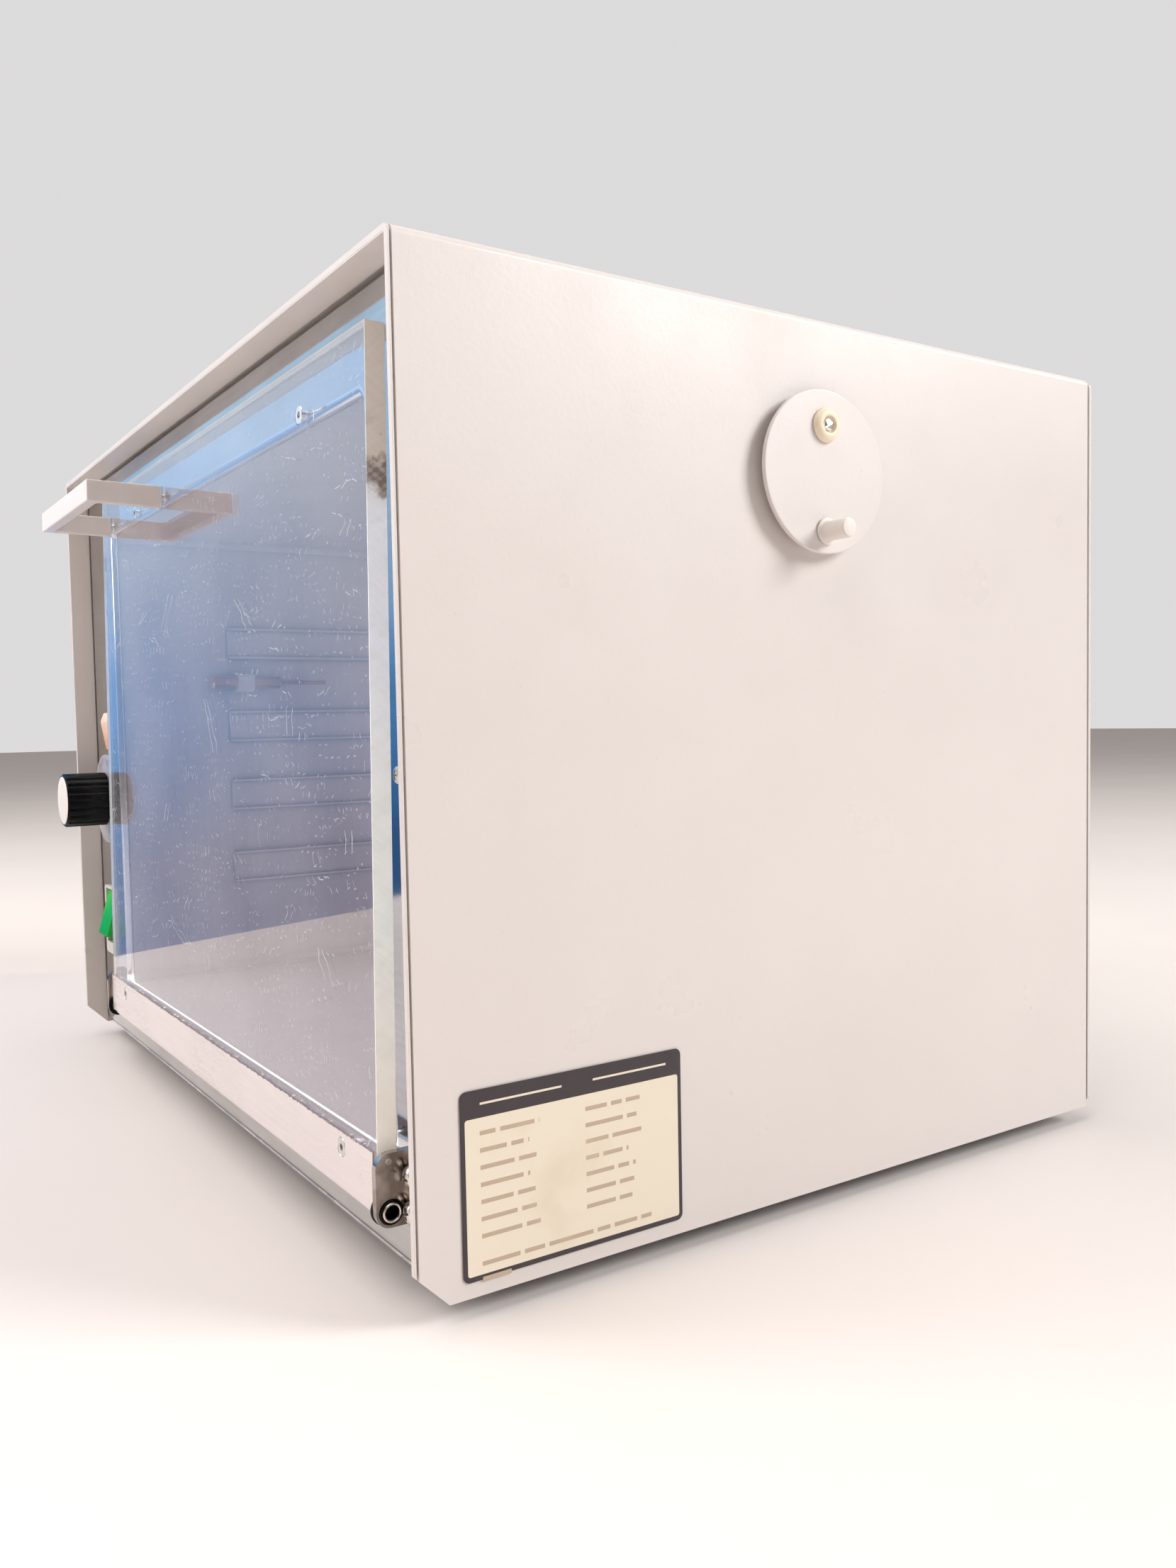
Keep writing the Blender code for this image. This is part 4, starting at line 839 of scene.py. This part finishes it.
def pull_handle():
    """Moulded flat U with small radii, on two thin clear beads of cement."""
    low, high = extent("door_handle", DOOR)
    wall, edge, root = 0.0050, 0.0007, 0.0012
    back, front, inner = high.y, low.y, low.y + wall
    corners = [(low.x, back, 0), (low.x, front, edge), (high.x, front, edge), (high.x, back, 0)]
    corners += [(high.x - wall, back, 0), (high.x - wall, inner, root), (low.x + wall, inner, root)]
    corners += [(low.x + wall, back, 0)]
    shape = soften(prism(rounded(corners, 5), "z", low.z, high.z), 0.00055, 3, 50)
    holes, beads = [], []
    for side in SIDES:
        at = middle(*extent(f"handle_screw_{side}", DOOR))
        holes.append(hole("y", at.x, at.z, 0.0014, front + 0.018, 0.0))
        x0, x1, lip = at.x - wall / 2, at.x + wall / 2, 0.0003
        outline = rectangle(x0 - lip, x1 + lip, low.z - 0.0002, high.z + 0.0002, 0.001)
        ring = soften(prism(outline, "y", back - 0.0005, back + 0.00015), 0.00025, 2)
        inside = prism(rectangle(x0 + lip, x1 - lip, low.z + lip, high.z - lip), "y", -0.02, 0.0)
        beads.append(cut(ring, inside))
    piece("pull_handle", cut(shape, *holes), "ivory", "door", ["door_handle"], DOOR)
    piece("handle_cement", gather(beads), "cement", "door", (), DOOR)


# Hinges


def other_hand(shape, side):
    """The right hand shape as it is, or mirrored about the pane's middle for the left."""
    if side == "right":
        return shape
    low, high = extent("door_pane")
    flip = Matrix.Translation((low.x + high.x, 0, 0)) @ Matrix.Diagonal((-1, 1, 1, 1))
    return moved(shape, flip)


def hinges():
    low, high = extent("hinge_bracket_right")
    pin_low, pin_high = extent("hinge_pin_right")
    bush_low, bush_high = extent("hinge_bush_right")
    washer_low, washer_high = extent("hinge_washer_right")
    axis = middle(bush_low, bush_high)
    pin_r, bush_r, outer = ((b.z - a.z) / 2 for a, b in ((pin_low, pin_high), (bush_low, bush_high),
                                                         (washer_low, washer_high)))
    flange, thick, x1 = 0.0024, 0.0024, pin_high.x

    bore, tail, shoulder, depth = 0.0021, 0.0014, x1 - 0.0051, x1 - 0.0034
    tube = [(0, depth), (bore, depth), (bore, x1 - 0.0002)]
    for i in range(7):
        angle, lip = math.pi * i / 6, (pin_r - bore) / 2
        tube.append(((pin_r + bore) / 2 - lip * math.cos(angle), x1 - lip + lip * math.sin(angle)))
    tube += [(pin_r, shoulder), (tail, shoulder), (tail, pin_low.x), (0, pin_low.x)]

    # painted shade: a thin black lining inside the pin's bore makes the hollow read dark
    cup = [(0, depth + 0.0001), (bore - 0.00003, depth + 0.0001), (bore - 0.00003, x1 - 0.0006)]
    cup += [(bore - 0.0003, x1 - 0.0006), (bore - 0.0003, depth + 0.0004), (0, depth + 0.0004)]

    inner, x0, x1 = pin_r + 0.00008, bush_low.x, bush_high.x
    sleeve = [(inner, x0), (inner, x1 - 0.0001), (inner + 0.0001, x1)]
    sleeve += [(bush_r - 0.0002, x1), (bush_r, x1 - 0.0002), (bush_r, x0)]

    edge, x0, x1 = 0.00025, washer_low.x, washer_high.x
    spacer = [(inner + 0.0001, x0), (inner + 0.0001, x1), (outer - edge, x1), (outer, x1 - edge)]
    spacer += [(outer, x0 + edge), (outer - edge, x0)]

    rings = (("tube", tube, "zinc", "door", "nickel", "pin"),
             # the black bore lining is painted shade in the pin's hollow
             ("bore", cup, "black", "door", "hinge_plastic", None),
             ("sleeve", sleeve, "black", "cabinet", "hinge_plastic", "bush"),
             ("spacer", spacer, "black", "door", "hinge_plastic", "washer"))
    for side in SIDES:
        ear = prism(rounded([(low.y, low.z, 0.0043), (low.y, high.z, 0.0045), (high.y, high.z, 0),
                             (high.y, low.z, 0)], 10), "x", low.x, low.x + thick)
        foot = prism(rounded([(low.x, low.z, 0), (high.x, low.z, 0.002), (high.x, high.z, 0.002),
                              (low.x, high.z, 0)]), "y", high.y - flange, high.y)
        bracket = soften(join(ear, foot), 0.0003, 3, 50)
        cutters = [hole("x", axis.y, axis.z, bush_r + 0.00012, 0.17, 0.18)]
        cutters.append(hole("x", low.y + 0.0040, high.z - 0.0024, 0.0010, 0.17, 0.18, 24))
        for row in ("lower", "upper"):
            at = middle(*extent(f"bracket_screw_right_{row}"))
            cutters.append(hole("y", at.x, at.z, 0.0017, 0.0, 0.012, 24))
        bracket = other_hand(cut(bracket, *cutters), side)
        piece(f"hinge_ear_{side}", bracket, "nickel", "cabinet", [f"hinge_bracket_{side}"])
        for name, profile, look, body, slot, node in rings:
            shape = other_hand(turned(profile, "x", axis.y, axis.z), side)
            replaced = [f"hinge_{node}_{side}"] if node else ()
            piece(f"hinge_{name}_{side}", shape, look, body, replaced)


# Controls


def fluted(radius, flutes=20, depth=0.0006, steps=10):
    """A circle with evenly spaced shallow grooves."""
    outline = []
    for i in range(flutes * steps):
        angle = 2 * math.pi * i / (flutes * steps)
        dip = depth * max(0.0, math.cos(flutes * angle)) ** 2
        outline.append(((radius - dip) * math.cos(angle), (radius - dip) * math.sin(angle)))
    return outline


def dial_knob():
    """Fluted knob with a recessed cap on its face."""
    low, high = extent("control_knob", KNOB)
    radius, front, rim, recess = (high.x - low.x) / 2, low.y, 0.0007, 0.0013
    cap_low, cap_high = extent("knob_cap", KNOB)
    cap_r = (cap_high.x - cap_low.x) / 2
    body = soften(prism(fluted(radius), "y", front + rim, high.y), 0.0003, 2, 60)
    nose = soften(prism(circle(0, 0, radius - rim, 96), "y", front, front + 0.004), 0.0004, 3, 60)
    face = hole("y", 0, 0, cap_r + 0.00012, front - 0.002, front + recess, 96)
    bore = hole("y", 0, 0, 0.00315, front + 0.007, high.y + 0.002)
    piece("dial_knob", cut(join(body, nose), face, bore), "black", "thermostat_dial",
          ["control_knob"], KNOB)

    seat_y, rise = front + 0.0008, 0.0006
    profile = [(0, cap_low.y)]
    profile += [(cap_r * s ** 0.6, cap_low.y + rise * (1 - c) ** 1.5) for s, c in quarter(8, 1)]
    profile += [(cap_r, seat_y), (0, seat_y)]
    piece("dial_cap", turned(profile, "y", segments=96), "cap", "thermostat_dial",
          ["knob_cap"], KNOB)


def dial_scale():
    """Clear disc with a mark each 10 degrees, every third one long."""
    low, high = extent("scale_disc", KNOB)
    radius, bore, y0, y1, edge = (high.x - low.x) / 2, 0.0033, low.y, high.y, 0.0002
    disc = [(bore, y0), (radius - edge, y0), (radius, y0 + edge), (radius, y1 - edge)]
    disc += [(radius - edge, y1), (bore, y1)]
    piece("dial_scale", turned(disc, "y", segments=96), "disc", "thermostat_dial",
          ["scale_disc"], KNOB)
    marks = []
    for i in range(28):
        start = 0.0186 if i % 3 else 0.0172
        tick = prism(rectangle(-0.0002, 0.0002, start, 0.0205), "y", y0 - 0.00005, y0 + 0.0001)
        marks.append(moved(tick, Matrix.Rotation(math.radians(135 - 10 * i), 4, "Y")))
    piece("dial_marks", gather(marks), "ink", "thermostat_dial", (), KNOB)


def pilot_lamp():
    """Wedge lens that stands out to a ridge."""
    low, high = extent("pilot_lamp_lens")
    ridge = low.z + 0.0141
    outline = [(high.y, low.z), (high.y - 0.0019, low.z), (low.y, ridge), (low.y + 0.0017, high.z)]
    outline += [(high.y, high.z)]
    lens = soften(prism(outline, "x", low.x, high.x), 0.00035, 3, 20)
    piece("lamp_lens", lens, "amber", "cabinet", ["pilot_lamp_lens"])


def switch_surround():
    """Rimmed box with the well that the rocker moves in."""
    low, high = extent("switch_housing")
    x, half = (low.x + high.x) / 2, (high.x - low.x) / 2
    bezel = prism(rectangle(low.x, high.x, low.z, high.z, 0.0015), "y", low.y, low.y + 0.0026)
    bezel = soften(bezel, 0.0005, 3)
    box = prism(rectangle(x - half + 0.0017, x + half - 0.0017, low.z + 0.0021, high.z - 0.0009), "y",
                low.y + 0.0014, high.y)
    well = prism(rectangle(x - 0.0094, x + 0.0094, low.z + 0.0060, high.z - 0.0013, 0.0004), "y",
                 low.y - 0.003, low.y + 0.0124)
    at = CASE.inverted() @ ROCKER.translation
    bearing = hole("x", at.y, at.z, 0.00145, x - 0.015, x + 0.015, 24)
    piece("switch_surround", cut(join(bezel, box), well, bearing), "grey", "cabinet",
          ["switch_housing"])


def rocker():
    pivot = extent("switch_rocker", ROCKER)[1]
    tilt = Matrix.Rotation(-math.radians(14.7), 4, "X")
    nose, tall, back, waist, wide = -0.00677, 0.0112, 0.0030, 0.0060, 0.0091
    outline = [(nose, -tall, 0.0006), (nose, tall, 0.0006), (0.0005, tall, 0.0004)]
    outline += [(back, waist, 0.001), (back, -waist, 0.001), (0.0005, -tall, 0.0004)]
    body = soften(prism(rounded(outline, 6), "x", -wide, wide), 0.0004, 3, 50)
    stub = hole("x", 0, 0, 0.00135, -pivot.x, pivot.x, 24)
    piece("rocker_cap", join(body, stub), "green", "power_rocker", ["switch_rocker"],
          ROCKER @ tilt)


# Probe port


def port_disc():
    """Round cover, bored for its pivot screw and for the finger peg."""
    low, high = extent("port_cover", COVER)
    radius, middle_z, edge, x0, x1 = (high.y - low.y) / 2, (low.z + high.z) / 2, 0.00045, low.x, high.x
    peg_low, peg_high = extent("port_peg", COVER)
    disc = [(0, x0), (radius - 0.0002, x0), (radius, x0 + 0.0002)]
    disc += [(radius - edge + edge * c, x1 - edge + edge * s) for s, c in quarter(5)]
    disc.append((0, x1))
    places = ((0, 0.00185), ((peg_low.z + peg_high.z) / 2, 0.0017))
    ways = [hole("x", 0, z, bore, x0 - 0.001, x1 + 0.001) for z, bore in places]
    piece("port_disc", cut(turned(disc, "x", 0, middle_z, 128), *ways), "cover", "port_flap",
          ["port_cover"], COVER)


def finger_peg():
    """Turned peg with a collar against the cover."""
    low, high = extent("port_peg", COVER)
    tail, wide, shaft, end = 0.0015, (high.y - low.y) / 2, 0.00315, high.x
    collar = extent("port_cover", COVER)[1].x + 0.0002
    peg = [(0, low.x), (tail, low.x), (tail, collar), (wide - 0.0002, collar)]
    peg += [(wide, collar + 0.0003), (wide - 0.0001, collar + 0.0008), (shaft + 0.0002, collar + 0.0011)]
    peg += [(shaft, collar + 0.0015), (shaft - 0.0001, end - 0.0007)]
    peg += [(shaft - 0.0007 + 0.0006 * c, end - 0.0006 + 0.0006 * s) for s, c in quarter(4)]
    peg.append((0, end))
    piece("port_finger_peg", turned(peg, "x", 0, (low.z + high.z) / 2, 64), "cap", "port_flap",
          ["port_peg"], COVER)


def port_pivot():
    """Domed cup washer and the slotted screw that holds the cover."""
    low, high = extent("port_pivot_washer", COVER)
    outer, x0, x1, crest = (high.z - low.z) / 2, low.x, high.x, 0.0033
    cup = [(0.0019, x0), (0.0019, x0 + 0.0008), (0.00225, x0 + 0.0008), (0.0024, x0 + 0.0011)]
    cup += [(0.0028, x1 - 0.0001), (crest, x1)]
    cup += [(crest + (outer - crest) * s, x0 + (x1 - x0) * c) for s, c in quarter(7, 1)]
    piece("pivot_cup", turned(cup, "x", 0, 0, 64), "warm", "cabinet",
          ["port_pivot_washer"], COVER)

    low, high = extent("port_pivot_screw", COVER)
    x1, shank = high.x, 0.00175
    head = [(0, x1), (0.0012, x1 - 0.00005), (0.0018, x1 - 0.0003), (0.0019, x1 - 0.0007)]
    head += [(shank, x1 - 0.0008), (shank, low.x), (0, low.x)]
    slot = prism(rectangle(-0.003, 0.003, -0.00025, 0.00025), "x", x1 - 0.0003, x1 + 0.002)
    slotted = cut(turned(head, "x", 0, 0, 36), moved(slot, Matrix.Rotation(0.6, 4, "X")))
    piece("pivot_screw_slotted", slotted, "zinc", "cabinet", ["port_pivot_screw"], COVER)


# Materials on the CAD nodes that stay


def finish_kept_nodes():
    kept = {
        "chamber": ["chamber_liner", "shelf_rails_left", "shelf_rails_right", "sensor_clip"],
        "paint": ["rear_panel"],
        "galvanised": ["base_pan"],
        "aluminium": ["door_hinge_rail"],
        "copper": ["sensor_bulb"],
        "wool": ["insulation"],
        "silicone": ["heater_mat"],
        "zinc": ["thermostat_nut", "thermostat_shaft"],
        "black": ["thermostat_body"],
        "ivory": ["pilot_lamp_body", "port_tube", "port_pivot_spacer"],
    }
    for look, nodes in kept.items():
        for name in nodes:
            node = frame["nodes"][name]
            node.data.materials.clear()
            node.data.materials.append(LOOKS[look])


# Stage


def area_light(name, at, target, size, power, tint):
    data = bpy.data.lights.new(name, "AREA")
    data.shape = "RECTANGLE"
    data.size, data.size_y = size
    data.energy = power
    data.color = tint
    lamp = linked(name, data)
    lamp.visible_camera = False
    lamp.location = at
    lamp.rotation_euler = (Vector(target) - Vector(at)).to_track_quat("-Z", "Y").to_euler()


def sheet(name, corners, look):
    """A flat staged surface through these corners."""
    shape = bmesh.new()
    shape.faces.new([shape.verts.new(corner) for corner in corners])
    made = linked(name, to_mesh(shape))
    made.data.materials.append(look)
    return made


def blue_card():
    """Tall card stood beyond the door's left end, seen only as a reflection in shiny surfaces."""
    look, n = blank("blue_card")
    n.tree.nodes.remove(n.shader)
    height = n.split(n.place)["Z"]
    tone = n.blend(n.spread(height, 0.06, 0.17), (0.05, 0.15, 0.35), (0.11, 0.35, 0.72))
    tone = n.blend(n.spread(height, 0.19, 0.38), tone, (0.60, 0.84, 1.10))
    n.surface(n.add("Emission", {"Color": tone, "Strength": 1.0}).outputs[0])
    foot = CASE @ Vector((-0.425, -0.060, 0.0))
    along = Vector((-0.453, -0.891, 0.0)).normalized()
    near, far = foot - along * 0.25, foot + along * 2.2
    up = Vector((0, 0, 2.2))
    near.z = far.z = 0.0
    card = sheet("blue_card", [near, far, far + up, near + up], look)
    for ray in ("camera", "diffuse", "shadow", "volume_scatter"):
        setattr(card, f"visible_{ray}", False)


def studio():
    """Pale surroundings, dim and warm on the camera's side, and even where they show behind."""
    world = bpy.data.worlds.new("studio")
    world.use_nodes = True
    n = Nodes(world.node_tree, world.node_tree.nodes["Background"])
    facing = Vector((math.sin(CAMERA_AZIMUTH), -math.cos(CAMERA_AZIMUTH), 0.0))
    way = n.add("TexCoord").outputs["Generated"]
    towards = n.vector("DOT_PRODUCT", way, facing)["Value"]
    lit = n.blend(n.spread(towards, -0.2, 0.6), (0.50, 0.475, 0.46), (0.135, 0.112, 0.105))
    seen = n.add("LightPath").outputs["Is Camera Ray"]
    n.set("Color", n.blend(seen, lit, (0.72, 0.71, 0.71)))
    return world


def stage():
    reach = 9.0
    corners = [(-reach, -reach, 0), (reach, -reach, 0), (reach, reach, 0), (-reach, reach, 0)]
    sheet("floor", corners, floor_paint("floor"))
    blue_card()
    middle_of_case = (0.0, 0.0, 0.14)
    area_light("key", (1.90, 1.70, 1.60), middle_of_case, (1.1, 1.1), 66, (1.0, 0.99, 0.985))
    area_light("front", (-0.95, -1.45, 0.75), middle_of_case, (0.9, 0.9), 17, (1.0, 0.94, 0.91))
    area_light("left", (-1.90, -0.60, 2.00), middle_of_case, (2.2, 1.6), 6, (1.0, 0.95, 0.91))
    area_light("top", (0.05, -0.60, 1.9), middle_of_case, (1.6, 1.6), 29, (1.0, 0.94, 0.90))
    bpy.context.scene.world = studio()
    bpy.context.scene.view_settings.view_transform = "Standard"


def camera():
    az, el, roll = CAMERA_AZIMUTH, CAMERA_ELEVATION, CAMERA_ROLL
    right = Vector((math.cos(az), math.sin(az), 0))
    back = Vector((math.sin(az) * math.cos(el), -math.cos(az) * math.cos(el), math.sin(el)))
    up = back.cross(right)
    across = right * math.cos(roll) + up * math.sin(roll)
    upward = up * math.cos(roll) - right * math.sin(roll)
    data = bpy.data.cameras.new("camera")
    data.lens, data.sensor_width = CAMERA_LENS, SENSOR
    data.clip_start = 0.01
    made = linked("camera", data)
    made.matrix_world = Matrix.Translation(CAMERA_AT) @ Matrix((across, upward, back)).transposed().to_4x4()
    bpy.context.scene.camera = made


camera()
for build in (casing, fascia, window_roll, rear_screws, feet, lead_gland, rating_plate, door_pane,
              bottom_plate, pull_handle, door_screws, bracket_screws, hinges, dial_knob, dial_scale,
              pilot_lamp, switch_surround, rocker, port_disc, finger_peg, port_pivot,
              finish_kept_nodes, stage):
    build()
